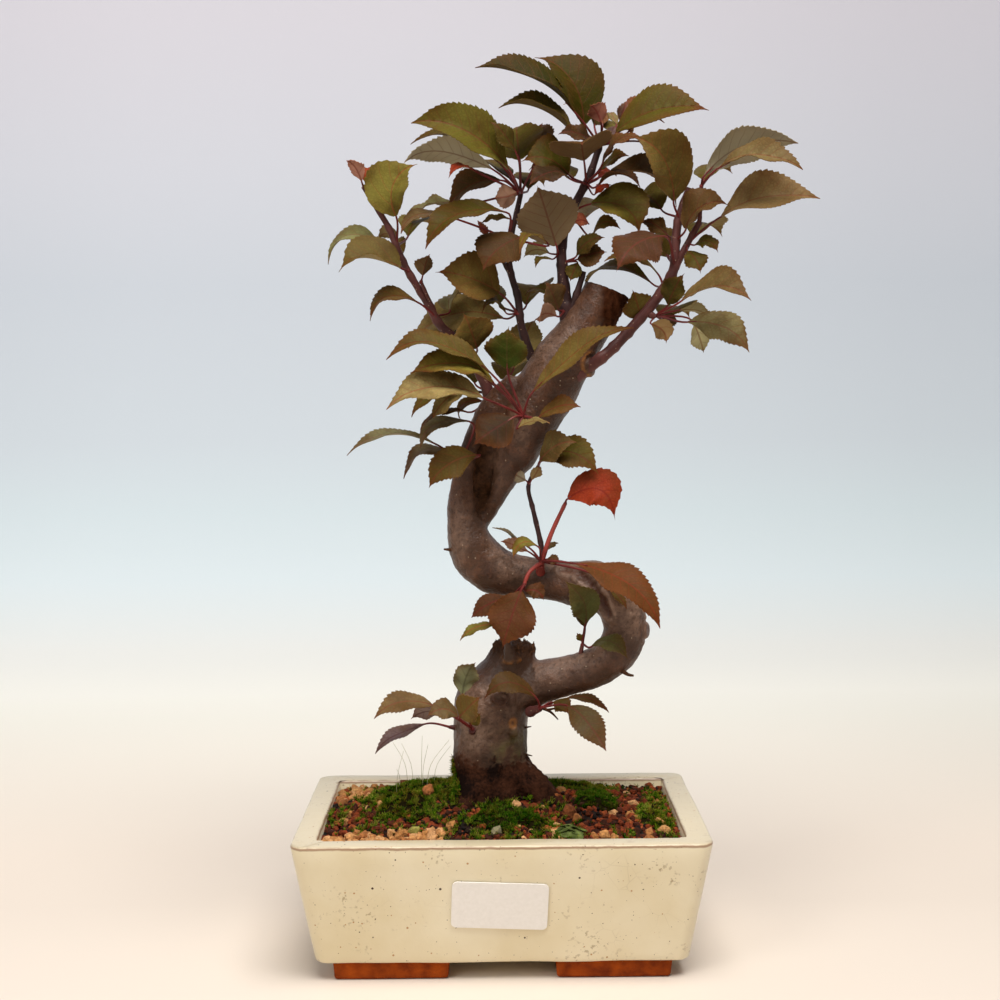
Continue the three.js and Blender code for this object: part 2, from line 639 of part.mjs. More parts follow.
const SHOOTS = [
  {
    name: "leader_shoot",
    twigs: [
      [[30.5, -1, 264, 3.6], [29.4, -1, 272, 3.3], [28.4, -1, 281, 2.8], [27.6, -2, 291, 2.3],
        [27.4, -2, 300, 2.2], [30, -1, 312, 1.9], [34.6, 0, 320.5, 1.8], [39.5, 0, 330, 1.6],
        [43.6, -1, 342, 1.4]],
      [[30.2, -2, 270, 1.9], [33.6, -3, 280, 1.5], [36.6, -4, 289.5, 1.1]],
    ],
    clusters: [
      { bud: [43.6, -1, 342], leaves: [
        [33, -6, 355, -9, -14, 373.5, 22, 3, 57, 32, "olive"],
        [37, 1, 351, 16.3, -2, 382.5, 26, 5.5, 35, 22, "olive"],
        [32, -9, 346, 0.5, -15, 357, 16, 3, 60, 28, "dark"],
        [41, -11, 341.5, 25.5, -20, 344.5, 9, 1, 40, 10, "dark"],
        [50, -5, 346.5, 89, -12, 355.5, 24, 3, 45, 24, "olive"],
        [55, 6, 352, 67.5, 12, 364.5, 9, 1.5, 40, 15, "orange"],
        [52.5, 3, 352, 55.5, 4, 361, 5, 0, 20, 25, "plum"],
        [51, -3, 351, 48.3, -5, 358.5, 4.5, 0, 30, 20, "pale"],
        [43.4, -11, 350, 38.3, -16, 356.5, 8, 1, 160, 15, "pink"],
        [44.6, -9, 350, 46, -11, 360.5, 6, 0, 150, 15, "pink"],
        [56, 1, 348, 71.7, 5, 352, 8, 2.5, 80, 15, "red"],
        [61, 4, 345, 70, 9, 340.5, 7, 1, 50, 10, "dark"],
        [46, -10, 342.5, 50, -14, 349.5, 4.5, 0, 20, 25, "plum"],
        [42, 8, 352, 30, 30, 366, 20, 3, 80, 15, "olive"],
        [50, 9, 349, 62, 34, 354, 18, 3, 80, 15, "olive"],
      ] },
      { bud: [38, 0, 326], leaves: [
        [36.5, -10, 334.5, 34.5, -34, 337.5, 25, 2, 90, 12, "olive"],
        [44, -13, 333, 61, -19, 341.5, 9, 4, 60, 15, "olive"],
        [46, -4, 329.5, 78, 3, 316.5, 20, 6, 60, 25, "brown"],
        [42, -11, 324, 59.7, -17, 322.3, 10, 4, 75, 18, "olive"],
        [43, -7, 328.5, 52.5, -6, 332.2, 7, 1, 60, 18, "red"],
        [41.5, -5, 321.5, 48.5, -4, 325.5, 6, 0.5, 60, 10, "red"],
        [44, 6, 332, 55, 12, 336.5, 8, 1, 50, 10, "dark"],
        [30, -10, 329, 10, -16, 334, 20, 3, 30, 8, "brown"],
        [30, -14, 326, 13, -20, 322, 12, 2, 50, 10, "dark"],
        [33, 10, 330, 14, 32, 338, 20, 3, 80, 15, "olive"],
      ] },
      { bud: [30.8, -1, 314], leaves: [
        [39.5, -5, 317.3, 60, -13, 303, 24, 5, 45, 15, "dark"],
        [38.5, -3, 309.5, 30.8, -7, 309, 6.5, 1, 30, 12, "orange"],
        [40.5, -5, 304.5, 52, -10, 306.5, 7, 3.5, 50, 10, "olive"],
        [38, 10, 313, 56, 30, 318, 20, 3, 80, 15, "olive"],
      ] },
      { bud: [29, -3, 293.5], leaves: [
        [33.5, -7, 295.8, 45, -13, 303, 9, 1.5, 40, 10, "green"],
        [34, -7, 294.4, 46, -16, 297.5, 12, 0, 30, 5, "brown"],
        [34, -5, 293, 30.5, -12, 285, 7, 0, 20, 10, "olive"],
      ] },
      { bud: [26, -3, 296.5], leaves: [
        [25, -8, 299.5, 16.5, -14, 325, 25, 0, 172, 8, "grey"],
        [23, -6, 294.5, 15.8, -11, 290.8, 5, 1.5, 60, 18, "olive"],
        [22, -1, 297.5, 11, 2, 296, 8, 2, 130, 10, "pale"],
      ] },
      { bud: [28.6, -3, 273], leaves: [
        [25.5, -6, 273.5, 20, -13, 285.2, 13, 0, 30, 10, "brown"],
        [24, -3, 280, 11.5, 2, 279.8, 7, 2, 60, 10, "dark"],
        [25, -7, 270.5, 16.5, -14, 267.5, 8, 2, 130, 10, "pinkpale"],
      ] },
    ],
  },
  {
    name: "mid_left_shoot",
    twigs: [
      [[19, 1, 244, 2.2], [15.6, 1, 251, 2.1], [12.6, 0, 259, 1.9], [10, -1, 268, 1.7], [8.8, -1, 279, 1.6],
        [6, -1, 289, 1.4], [5, -2, 300, 1.3], [8, -2, 312, 1.2], [10.3, -2, 322, 1.1]],
      [[8, -1, 283, 1], [4.6, -2, 290.5, 0.9], [1.5, -3, 296, 0.8]],
    ],
    clusters: [
      { bud: [10.3, -2, 322], leaves: [
        [5.5, -12, 330.5, -35, -24, 349.5, 21, 4.5, 35, 20, "olive"],
        [4, -3, 332, -36.8, -6, 344, 14, 5, 60, 20, "dark"],
        [-1.5, -8, 331.5, -38.8, -17, 333.5, 14, 4, 130, 10, "grey"],
        [10, -8, 336, 9.5, 2, 354, 23, 0, 20, 10, "olive"],
        [17, -5, 338, 20, -9, 355, 15, 0, 30, 10, "brown"],
        [8, -14, 338, -2, -20, 349.5, 9, 0, 40, 10, "dark"],
        [2, -5, 328, -21.5, -12, 316, 15, 3, 50, 15, "brown"],
        [-9, -3, 331, -19.2, -6, 326, 5, 2, 60, 15, "red"],
        [8.5, -8, 322, -1.5, -13, 319.5, 9.5, -1, 160, 10, "pinkpale"],
        [-17, 1, 319, -41, -2, 315.5, 10, 1, 60, 18, "pale"],
        [6, 10, 330, -16, 32, 338, 20, 3, 80, 15, "olive"],
        [14, 10, 326, 22, 34, 332, 18, 3, 80, 15, "olive"],
      ] },
      { bud: [5, -2, 303], leaves: [
        [4, -10, 313.3, -30, -20, 297.5, 16, 5, 50, 15, "green"],
        [5.5, -5, 311.5, -7, -8, 309, 5, 1, 110, 10, "pinkpale"],
        [-20, -6, 312.5, -40.3, -13, 304.8, 9, 3.5, 60, 10, "lime"],
        [10, -10, 303, -6.5, -19, 288, 21, 2, 30, 10, "brown"],
        [21, -10, 300, 8.7, -14, 294.5, 6, 4.5, 70, 10, "olive"],
        [-3.5, 0, 304, -8, -1, 311.5, 3.5, 0, 20, 15, "pink"],
      ] },
      { bud: [8.8, -2, 272], leaves: [
        [1, -8, 280.5, -26, -16, 289.7, 24, 1, 25, 25, "olive"],
        [3.5, -7, 272.5, -6.8, -12, 272, 7, 4.5, 65, 15, "olive"],
        [3, 3, 270.5, -41, 9, 258.5, 23, 6, 45, 12, "olive"],
        [12.5, 5, 276, 22, 28, 284, 18, 3, 80, 15, "olive"],
        [1, 10, 277, -18, 30, 286, 20, 3, 80, 15, "olive"],
      ] },
    ],
  },
  {
    name: "left_branch_shoot",
    twigs: [
      [[-2, 3, 231, 2.8], [-5.4, 2, 243, 2.5], [-10, 1, 251, 2.2], [-17, -1, 260.5, 2], [-24.5, -2, 268, 1.9],
        [-29.5, -2, 277, 1.7], [-37.5, -3, 290.3, 1.5], [-42.5, -3, 301.5, 1.4], [-46, -3, 309.7, 1.3],
        [-55.5, -4, 325, 0.9]],
      [[-26.5, -2, 273.5, 1], [-29.5, -4, 280, 0.8], [-31.8, -6, 285.5, 0.7]],
    ],
    clusters: [
      { bud: [-12, -1, 254], leaves: [
        [-8.6, -12, 257.5, -14, -20, 272, 19, 0, 15, 18, "brown"],
        [-16, 8, 258, -30, 28, 262, 18, 3, 80, 15, "olive"],
      ] },
      { bud: [-26, -3, 271], leaves: [
        [-33.5, -7, 277, -53.5, -12, 268.7, 14, 5.5, 60, 18, "bronze"],
        [-20, 8, 274, -12, 28, 282, 18, 3, 80, 15, "olive"],
      ] },
      { bud: [-31.8, -6, 285.5], leaves: [
        [-31, -8, 288, -28, -11, 297, 9, 0, 140, 15, "brown"],
      ] },
      { bud: [-37.5, -4, 290.3], leaves: [
        [-40, -8, 291, -66.5, -15, 290, 23, 3.5, 55, 28, "olive"],
        [-42, 8, 294, -54, 30, 300, 18, 3, 80, 15, "olive"],
      ] },
      { bud: [-42, -3, 300.5], leaves: [
        [-49, -2, 301.3, -73, -4, 293.5, 14, 7, 65, 15, "olive"],
        [-42, 2, 302.5, -51.5, 5, 304, 8, 3, 130, 10, "tan"],
        [-41.8, -9, 312.5, -32.5, -14, 335, 24, 5, 35, 25, "lime"],
        [-38, 8, 306, -26, 30, 314, 18, 3, 80, 15, "olive"],
      ] },
      { bud: [-55.5, -4, 325], leaves: [
        [-54, -6, 326.5, -48.8, -9, 333.8, 8, 1, 20, 10, "red"],
        [-56, -6, 327, -61.8, -9, 335, 6.5, 1, 150, 15, "pink"],
      ] },
    ],
  },
  {
    name: "right_branch_shoot",
    twigs: [
      [[30, -5, 243, 3.2], [40, -8, 250.5, 2.7], [47.5, -8, 256.3, 2.4], [56, -7, 265, 2.3], [64, -6, 274, 2.2],
        [70.8, -5, 283, 2.2], [74.3, -5, 290, 2.1], [75, -5, 298, 1.9], [76.2, -5, 310, 1.8], [81, -5, 323.5, 1.7]],
      [[74.3, -5, 289.5, 1.7], [80, -6, 300.5, 1.4], [85, -7, 309.5, 1.3]],
      [[84.8, -7, 309, 0.9], [85.3, -8, 317, 0.8], [85.4, -9, 324, 0.8]],
      [[62.6, -6, 272, 1.6], [66.5, -6.4, 270, 1.2]],
    ],
    clusters: [
      { bud: [85.4, -9, 324], leaves: [
        [86, -11, 327.5, 124.6, -20, 340.3, 18, 5, 140, 8, "grey"],
        [92, -14, 330.5, 123.8, -24, 328.2, 14, 3, 50, 25, "olive"],
        [88, 4, 328, 104, 26, 334, 18, 3, 80, 15, "olive"],
      ] },
      { bud: [80, -6, 300.5], leaves: [
        [93, -12, 310.8, 133, -22, 317.5, 21, 2.5, 45, 22, "bronze"],
        [83, -8, 299.8, 92, -13, 296, 9, 2.5, 45, 5, "olive"],
        [79.6, -10, 297, 84.5, -16, 287.5, 10, 0.5, 20, 5, "olive"],
        [84, 4, 304, 100, 26, 308, 18, 3, 80, 15, "olive"],
      ] },
      { bud: [76.4, -6, 311], leaves: [
        [73.4, -10, 317.5, 53.5, -19, 343, 26, 5, 30, 20, "amber"],
        [70, 6, 316, 60, 28, 322, 18, 3, 80, 15, "olive"],
      ] },
      { bud: [75.6, -6, 302], leaves: [
        [78.6, -11, 305.8, 96.5, -18, 315.5, 18, 4, 50, 25, "bronze"],
        [72, 1, 305, 61, 6, 311, 9, 1, 40, 10, "olive"],
      ] },
      { bud: [74.6, -6, 291.5], leaves: [
        [69, -12, 302.5, 47.5, -21, 287.5, 20, 3, 30, -8, "brownpink"],
        [72, 1, 296.5, 58, 6, 299, 10, 1, 50, 10, "olive"],
        [73, 6, 296, 66, 28, 304, 18, 3, 80, 15, "olive"],
      ] },
      { bud: [70.3, -4, 282.3], leaves: [
        [66.5, 2, 285, 36.5, 8, 283, 12, 7.5, 70, 15, "olive"],
        [68, 4, 288, 44, 9, 294, 9, 3, 60, 10, "olive"],
      ] },
      { bud: [66.5, -6, 270.5], leaves: [
        [71.5, -9, 275, 77.5, -14, 288, 11, 0, 30, 15, "dark"],
        [76, -15, 276, 102.5, -24, 275.5, 17, 4, 55, 25, "tan"],
        [79, -13, 267.5, 104, -21, 254.2, 15, 4, 25, 10, "bronze"],
        [83, -6, 267, 86.5, -10, 254.5, 9, 0, 150, 10, "pale"],
        [77, -3, 273, 91, -6, 267.5, 7, 2, 120, 10, "pale"],
        [64.5, -9, 267, 70.3, -13, 258.5, 9, 2, 150, 10, "tan"],
        [69.5, -8, 269.2, 77, -12, 268, 6, 0.5, 30, 5, "brown"],
        [72, 6, 270, 86, 28, 272, 18, 3, 80, 15, "olive"],
      ] },
      { bud: [58.4, -7, 267.5], leaves: [
        [60, 1, 270, 56.8, 6, 281.5, 14, 0, 20, 8, "green"],
      ] },
    ],
  },
  {
    name: "middle_shoot",
    twigs: [[[10.5, -8, 228, 2.4], [10.5, -15, 229, 1.8]]],
    clusters: [
      { bud: [10.4, -15.5, 229], leaves: [
        [-2, -23, 246, -46.5, -32, 254.5, 14, 6, 60, 25, "yellow"],
        [0, -20, 240.5, -37, -29, 246.5, 15, 4, 95, 22, "yellow"],
        [-2, -16, 243, -36, -16, 248, 18, 4, 55, 18, "dark"],
        [-6, -25, 236.8, -46.5, -36, 233.5, 20, 4.5, 50, 22, "amber"],
        [6, -22, 228.5, -11, -29, 217.5, 17, 0, 20, -8, "brown"],
        [14, -20, 238.5, 56.5, -22, 266.3, 15, 2, 48, 25, "yellow"],
        [17, -18, 228.5, 34.3, -24, 233, 10, 1.5, 50, 10, "tan"],
        [8, -20, 224, 21.5, -26, 227, 6, 1, 110, 10, "tan"],
        [4, -14, 249, 4.5, -16, 266.5, 18, 0, 20, 8, "green"],
      ] },
    ],
  },
  {
    name: "stub_shoot",
    twigs: [[[1, 4, 234, 1.6], [-1.5, 8, 238, 1.3]]],
    clusters: [
      { bud: [-1.5, 8, 238], leaves: [
        [-16, 3, 240, -37.5, 0, 228.5, 9, 3, 60, 12, "olive"],
        [-14, 7, 239, -29, 5, 227, 10, 2, 40, 10, "brown"],
        [-6, 2, 235, -17, -2, 226, 6, 4, 60, 10, "dark"],
        [7, 6, 249, 17, 8, 272, 17, 0, 30, 8, "yellow"],
        [-13, 6, 230.5, -35, 4, 220.5, 7, 4, 70, 10, "brown"],
        [-10, 16, 243, -24, 36, 250, 18, 3, 80, 15, "olive"],
        [4, 18, 243, 12, 40, 250, 18, 3, 80, 15, "olive"],
      ] },
    ],
  },
  {
    name: "left_cleft_shoot",
    twigs: [[[-12, 0, 206, 1.6], [-15.5, -6, 208.5, 1.3]]],
    clusters: [
      { bud: [-15.8, -6.5, 208.7], leaves: [
        [-27, -12, 218, -64, -19, 213.8, 10, 4, 70, 18, "olive"],
        [-12, -13, 227, -33, -17, 216.5, 9, 4, 60, 10, "dark"],
        [-19, -6, 211.5, -41, -8, 202.5, 11, 6.5, 65, 10, "brown"],
        [-8.5, -16, 213, -29.5, -21, 199.5, 14, 3, 25, 8, "bronze"],
      ] },
    ],
  },
  {
    name: "loop_top_shoot",
    twigs: [
      [[17.5, -4, 161, 2], [17.6, -8.5, 166, 1.6]],
      [[17.6, -8, 166, 1.1], [18, -6, 173, 1.1], [14.6, -5, 189, 1], [12.7, -5, 197, 0.9], [13.4, -5, 202, 0.8],
        [16.8, -6, 207.5, 0.7]],
      [[17.6, -8.5, 166, 1.1], [22, -9, 179, 1], [28, -10, 192, 0.8]],
      [[17.4, -8.5, 166.5, 1], [12.6, -14, 163.5, 0.8], [10.4, -15.5, 158.5, 0.8]],
    ],
    clusters: [
      { bud: [16.8, -6, 207.5], leaves: [
        [17.4, -9, 210, 33, -15, 218.5, 13, 2, 35, 10, "olive"],
        [18, -4, 209.8, 42.3, -6, 204.5, 16, 5.5, 40, 10, "olive"],
      ] },
      { bud: [12.9, -5, 200], leaves: [
        [14, -7, 202, 18, -11, 207.8, 5, 0, 150, 10, "tan"],
        [11.5, -4, 201.8, 7, -3, 204.8, 5, 0, 150, 10, "tan"],
      ] },
      { bud: [28, -10, 192], leaves: [
        [28.8, -12, 194, 48.5, -19, 184.3, 18, 9, 25, 10, "red"],
      ] },
      { bud: [17.6, -9, 167.5], leaves: [
        [16, -14, 174.5, 5.5, -19, 169.8, 7, 3.5, 55, 10, "lime"],
        [13.5, -7, 172.5, -3, -5, 182, 4, 0, 110, 10, "grey"],
        [12, -11, 172, 0.5, -14, 176.5, 7, 0, 140, 10, "pinkpale"],
        [19, -4, 172, 25.5, -2, 174.8, 4, 0, 60, 10, "pale"],
        [20.5, -9, 168.5, 26, -11, 167.8, 5, 0, 40, 5, "brown"],
        [31, -15, 168, 65.5, -19, 143.5, 17, 5, 40, 12, "orange"],
        [45, -19, 159, 53.5, -24, 148.5, 4, 0, 30, 10, "yellow"],
      ] },
      { bud: [10.4, -15.5, 158.5], leaves: [
        [9, -17, 156, 0.5, -21, 131.6, 20, 0, 15, -8, "brownred"],
        [4, -17, 153, -12.5, -24, 143.5, 9, 1, 30, 5, "brownred"],
        [11, -16, 155.5, 18.8, -22, 151.5, 7, 2, 30, 5, "brownred"],
        [-1, -14, 141, -17.5, -17, 135, 5.5, 1.5, 60, 10, "lime"],
      ] },
    ],
  },
  {
    name: "loop_sprig",
    twigs: [[[34.2, -4.5, 122, 1.3], [34.6, -6, 128, 1], [35.2, -7, 131.5, 0.8]]],
    clusters: [
      { bud: [35.2, -7, 131.5], leaves: [
        [36, -8, 141, 27, -13, 161.5, 13, 3, 15, 8, "green"],
        [38.5, -13, 132, 52.8, -19, 128.8, 9, 4, 45, 10, "olive"],
        [34.8, -8, 133, 32.8, -10, 136.5, 3, 0, 20, 8, "olive"],
        [37, 4, 137, 46, 20, 146, 12, 2, 80, 12, "olive"],
      ] },
    ],
  },
  {
    name: "lower_left_shoot",
    twigs: [[[-11.5, -11, 95, 1.8], [-12, -15.5, 97, 1.4]]],
    clusters: [
      { bud: [-12, -15.8, 97.4], leaves: [
        [-16, -20, 113, -10, -23, 127.6, 10.5, 1, 160, 10, "greygreen"],
        [-18, -22, 104, -31, -27, 105, 9, 3, 35, 8, "olive"],
        [-17, -25, 105, -8, -31, 115.7, 12, 0, 20, 8, "yellow"],
        [-27.5, -18, 107.5, -53.5, -26, 104.5, 11, 3.5, 50, 15, "olive"],
        [-25, -15, 104, -38.5, -17, 100.5, 9, 1, 140, 5, "pinkpale"],
        [-12.5, -20, 100.5, -8, -23, 105.8, 6, 0, 30, 8, "olive"],
      ] },
    ],
  },
  {
    name: "left_side_leaf",
    twigs: [[[-17, -2, 94.5, 1.3], [-21.4, -3, 95.4, 0.9]]],
    clusters: [
      { bud: [-21.6, -3, 95.4], leaves: [
        [-32, -5, 97.4, -54, -11, 85.8, 8, 1, 60, 15, "plum"],
      ] },
    ],
  },
  {
    name: "lower_right_shoot",
    twigs: [[[12, -10, 103, 2.2], [16.6, -14, 105.6, 1.6]]],
    clusters: [
      { bud: [16.8, -14.2, 105.8], leaves: [
        [15, -19, 111, -7.5, -23, 111.5, 11, 6, 50, 10, "olive"],
        [22.5, -13, 108, 28.8, -17, 103.5, 8, 1, 40, 5, "dark"],
        [28, -14, 108, 42.5, -22, 95.3, 12, 1, 30, 5, "dark"],
        [27.5, -9, 108.5, 47, -11, 104, 5, 2, 60, 10, "olive"],
        [19, 6, 105, 30, 22, 108, 14, 2, 80, 12, "olive"],
      ] },
    ],
  },
];

// Neighbouring leaves yield to each other: each leaf in turn leans towards or away
// from the front in steps until it is clear of the limbs, twigs and earlier leaves.

const LEANS = [0, -3, 3, -6, 6, -9, 9, -12, 12, -15, 15, -18, 18, -21, 21, -24, 24];

function limbPoints() {
  const out = [];
  for (const knots of [TRUNK.base, TRUNK.loop, TRUNK.crown, TRUNK.heart]) {
    out.push(...smoothLine(knots, 4));
  }
  return out;
}

function twigPoints(shoot) {
  return shoot.twigs.flatMap((twig) => smoothLine(twig, 3));
}

function leafPoints(bud, row) {
  const f = leafFrame(row);
  const out = [];
  for (let i = 0; i <= 16; i += 1) {
    for (let j = -4; j <= 4; j += 1) {
      out.push(bladePoint(f, Math.min(Math.max(i / 16, 0.01), 0.99), j / 4));
    }
  }
  const stalk = petioleLine(bud, f);
  for (let i = 0; i < stalk.length - 1; i += 1) {
    for (const t of [0.35, 0.7]) {
      const p = mixPoint(stalk[i], stalk[i + 1], t);
      if (length(sub(p, bud)) > 3) {
        out.push(p);
      }
    }
  }
  return out;
}

function bounds(points) {
  const low = [Infinity, Infinity, Infinity];
  const high = [-Infinity, -Infinity, -Infinity];
  for (const p of points) {
    for (let k = 0; k < 3; k += 1) {
      low[k] = Math.min(low[k], p[k]);
      high[k] = Math.max(high[k], p[k]);
    }
  }
  return [low, high];
}

function boxesMeet(a, b, space) {
  return [0, 1, 2].every((k) => a[0][k] - space < b[1][k] && b[0][k] - space < a[1][k]);
}

// The smallest spare distance between points of a leaf and a list of round points.
function spare(points, box, obstacle, extra) {
  let least = Infinity;
  for (const q of obstacle) {
    const r = (q[3] || 0) + extra;
    const inside = [0, 1, 2].every((k) => q[k] > box[0][k] - r && q[k] < box[1][k] + r);
    if (!inside) {
      continue;
    }
    for (const p of points) {
      least = Math.min(least, length(sub(p, q)) - r);
    }
  }
  return least;
}

function settleLeaves() {
  const limbs = limbPoints();
  const placed = [];
  for (const shoot of SHOOTS) {
    for (const cluster of shoot.clusters) {
      cluster.settled = cluster.leaves.map((row) => {
        let best = null;
        for (const lean of LEANS) {
          const trial = row.slice();
          trial[1] += lean * 0.3;
          trial[4] += lean;
          const points = leafPoints(cluster.bud, trial);
          const box = bounds(points);
          let least = spare(points, box, limbs, 1.6);
          for (const other of SHOOTS) {
            if (other !== shoot) {
              least = Math.min(least, spare(points, box, twigPoints(other), 1.6));
            }
          }
          for (const leaf of placed) {
            const space = leaf.shoot === shoot.name ? 1.6 : CLEARANCE;
            if (least > 0 && boxesMeet(box, leaf.box, space)) {
              least = Math.min(least, spare(points, box, leaf.points, space));
            }
          }
          if (best === null || least > best.least) {
            best = { least, trial, points, box };
          }
          if (least > 0) {
            break;
          }
        }
        placed.push({ shoot: shoot.name, points: best.points, box: best.box });
        return best.trial;
      });
    }
  }
}

settleLeaves();

function makeShoot(shoot, grownTrunk) {
  const solids = shoot.twigs.map((twig) => limb(smoothLine(twig, 1), 5));
  for (const cluster of shoot.clusters) {
    solids.push(bud(cluster.bud, 1.7));
    for (const row of cluster.settled) {
      const f = leafFrame(row);
      solids.push(makeLeaf(cluster.bud, f));
    }
  }
  const whole = joinAll(solids).subtract(grownTrunk);
  return largest(whole);
}

// Assembly

const group = new THREE.Group();
group.name = "apple_bonsai";

const trunk = largest(makeTrunk(0), SLIVER / 2);
const grownTrunk = makeTrunk(GAP);

group.add(part("pot", pot, glaze));
group.add(part("blank_label", makeLabel(), labelPaper));
group.add(part("drain_mesh_left", makeDrainMesh(-DRAIN_X), plasticMesh));
group.add(part("drain_mesh_right", makeDrainMesh(DRAIN_X), plasticMesh));

const soilWhole = makeSoil();
let soil = soilWhole.subtract(grownTrunk);
for (const sx of [-1, 1]) {
  const side = MESH_SIDE + 2 * GAP;
  soil = soil.subtract(loft([
    roundedRing(side, side, 1, floorTop - 1, 1),
    roundedRing(side, side, 1, floorTop + 2 * GAP + MESH_THICKNESS, 1),
  ]).translate([sx * DRAIN_X, 0, 0]));
}
group.add(part("soil", largest(soil, SLIVER / 4), earth));

const cushions = [
  ["moss_left", -38, -4, 19, 20, 5, 0.4],
  ["moss_front", 2, -29, 15, 8, 4.5, 2.1],
  ["moss_right", 41, 0, 9, 13, 3.6, 3.3],
  ["moss_right_rim", 64, -12, 6, 15, 3.4, 4.2],
  ["moss_back", 30, 26, 20, 10, 4, 5.1],
  ["moss_back_left", -20, 33, 20, 8, 4, 1.2],
];
const soilLifted = soilWhole.translate([0, 0, GAP]);
for (const [name, x, y, rx, ry, high, seed] of cushions) {
  const body = mossCushion(x, y, rx, ry, high, seed).subtract(soilLifted).subtract(grownTrunk);
  group.add(part(name, largest(body), mossGreen));
}

group.add(part("trunk", trunk, bark));
for (const shoot of SHOOTS) {
  group.add(part(shoot.name, makeShoot(shoot, grownTrunk), foliage));
}

// Origin: middle of the footprint of the whole object, on the ground
const whole = new THREE.Box3().setFromObject(group);
for (const item of group.children) {
  const middleX = (whole.min.x + whole.max.x) / 2;
  const middleY = (whole.min.y + whole.max.y) / 2;
  item.geometry.translate(-middleX, -middleY, -whole.min.z);
}

export default group;
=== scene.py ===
import math

import bmesh
import bpy
import numpy as np
from mathutils import Matrix, Vector, noise


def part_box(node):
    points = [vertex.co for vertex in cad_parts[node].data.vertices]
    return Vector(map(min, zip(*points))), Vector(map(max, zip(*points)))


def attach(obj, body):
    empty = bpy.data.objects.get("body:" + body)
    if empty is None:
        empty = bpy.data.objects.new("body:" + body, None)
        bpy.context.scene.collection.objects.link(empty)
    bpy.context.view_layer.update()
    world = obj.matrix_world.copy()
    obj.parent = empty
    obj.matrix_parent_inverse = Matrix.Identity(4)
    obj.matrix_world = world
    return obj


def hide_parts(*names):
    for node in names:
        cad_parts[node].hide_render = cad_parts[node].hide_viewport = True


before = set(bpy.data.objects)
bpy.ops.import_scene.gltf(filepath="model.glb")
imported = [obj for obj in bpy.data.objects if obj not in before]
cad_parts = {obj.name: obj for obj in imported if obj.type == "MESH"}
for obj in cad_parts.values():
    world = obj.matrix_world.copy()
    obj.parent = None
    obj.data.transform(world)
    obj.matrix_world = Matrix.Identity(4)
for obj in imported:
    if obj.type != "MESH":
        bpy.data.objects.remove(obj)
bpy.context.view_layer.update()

# Pot
# A slab-built rectangular stoneware tray pot with a broad flat rim, dipped in a satin
# cream glaze that breaks to brown on the rim's outer edge and shows iron specks. Its four
# feet were wiped bare before firing and show the orange clay.

# Lengths are millimetres from the middle of the pot's footprint on the ground, x to the
# right, y away from the labelled face, z up. place() turns them into the shared frame.
MM = 0.001
pot_low, pot_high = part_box("pot")
CENTRE = np.array([(pot_low.x + pot_high.x) / 2, (pot_low.y + pot_high.y) / 2, 0.0])


def place(points):
    """Turns millimetres into the shared frame's metres."""
    return np.asarray(points, float) * MM + CENTRE


# The pot at its rim, then at its base, then its rim's width, floor and upright corners
POT_WIDTH, POT_DEPTH, POT_HEIGHT = 170.0, 115.0, 59.4
POT_BASE_WIDTH, POT_BASE_DEPTH = 153.3, 91.0
POT_RIM, POT_FLOOR, POT_CORNER = 10.0, 8.0, 6.0
# A foot's size and middle, and the middle and radius of a drain hole
FOOT_HEIGHT, FOOT_LENGTH, FOOT_DEPTH = 7.4, 48.0, 13.0
FOOT_X, FOOT_Y = 45.5, 37.5
DRAIN_X, DRAIN_RADIUS = 36.0, 8.0
# How far edges are rounded; how far a foot reaches into the pot, narrows and is uneven
BASE_ROUND, LIP_ROUND, FOOT_ROUND = 1.3, 1.1, 1.2
FOOT_SUNK, FOOT_TAPER, FOOT_UNEVEN, FOOT_WAVE = 1.5, (1.5, 2), 0.22, 4
FLOOR_TOP = FOOT_HEIGHT + POT_FLOOR
# How nearly upright a face's or an edge's direction is to be picked, and how near is level
FLAT_WAY, EDGE_WAY, NEAR = 0.9, 0.8, 0.1


def take(obj, *others):
    """Selects these objects and no more, and works on the first."""
    bpy.ops.object.select_all(action="DESELECT")
    for item in (obj, *others):
        item.select_set(True)
    bpy.context.view_layer.objects.active = obj


def apply_all(obj):
    """Makes an object's place, turn and scale part of its mesh."""
    take(obj)
    bpy.ops.object.transform_apply(location=True, rotation=True, scale=True)


def pick(obj, test, kind="FACE"):
    """Selects the faces or edges of obj whose middle and direction pass the test."""
    bpy.ops.object.mode_set(mode="EDIT")
    bpy.ops.mesh.select_mode(type=kind)
    bpy.ops.mesh.select_all(action="DESELECT")
    bm = bmesh.from_edit_mesh(obj.data)
    for item in bm.faces if kind == "FACE" else bm.edges:
        if kind == "FACE":
            middle, way = item.calc_center_median(), item.normal
        else:
            ends = [v.co for v in item.verts]
            middle, way = (ends[0] + ends[1]) / 2, (ends[1] - ends[0]).normalized()
        item.select_set(test((middle - Vector(CENTRE)) / MM, way))
    bmesh.update_edit_mesh(obj.data)


def new_box(name, size, middle):
    """A block of the given size about its middle."""
    bpy.ops.object.select_all(action="DESELECT")
    bpy.ops.mesh.primitive_cube_add(size=1, location=place(middle))
    obj = bpy.context.object
    obj.name = name
    obj.scale = [s * MM for s in size]
    apply_all(obj)
    return obj


def use_modifier(obj, kind, **settings):
    """Adds a modifier and applies it at once."""
    modifier = obj.modifiers.new(kind, kind)
    for key, value in settings.items():
        setattr(modifier, key, value)
    take(obj)
    bpy.ops.object.modifier_apply(modifier=modifier.name)


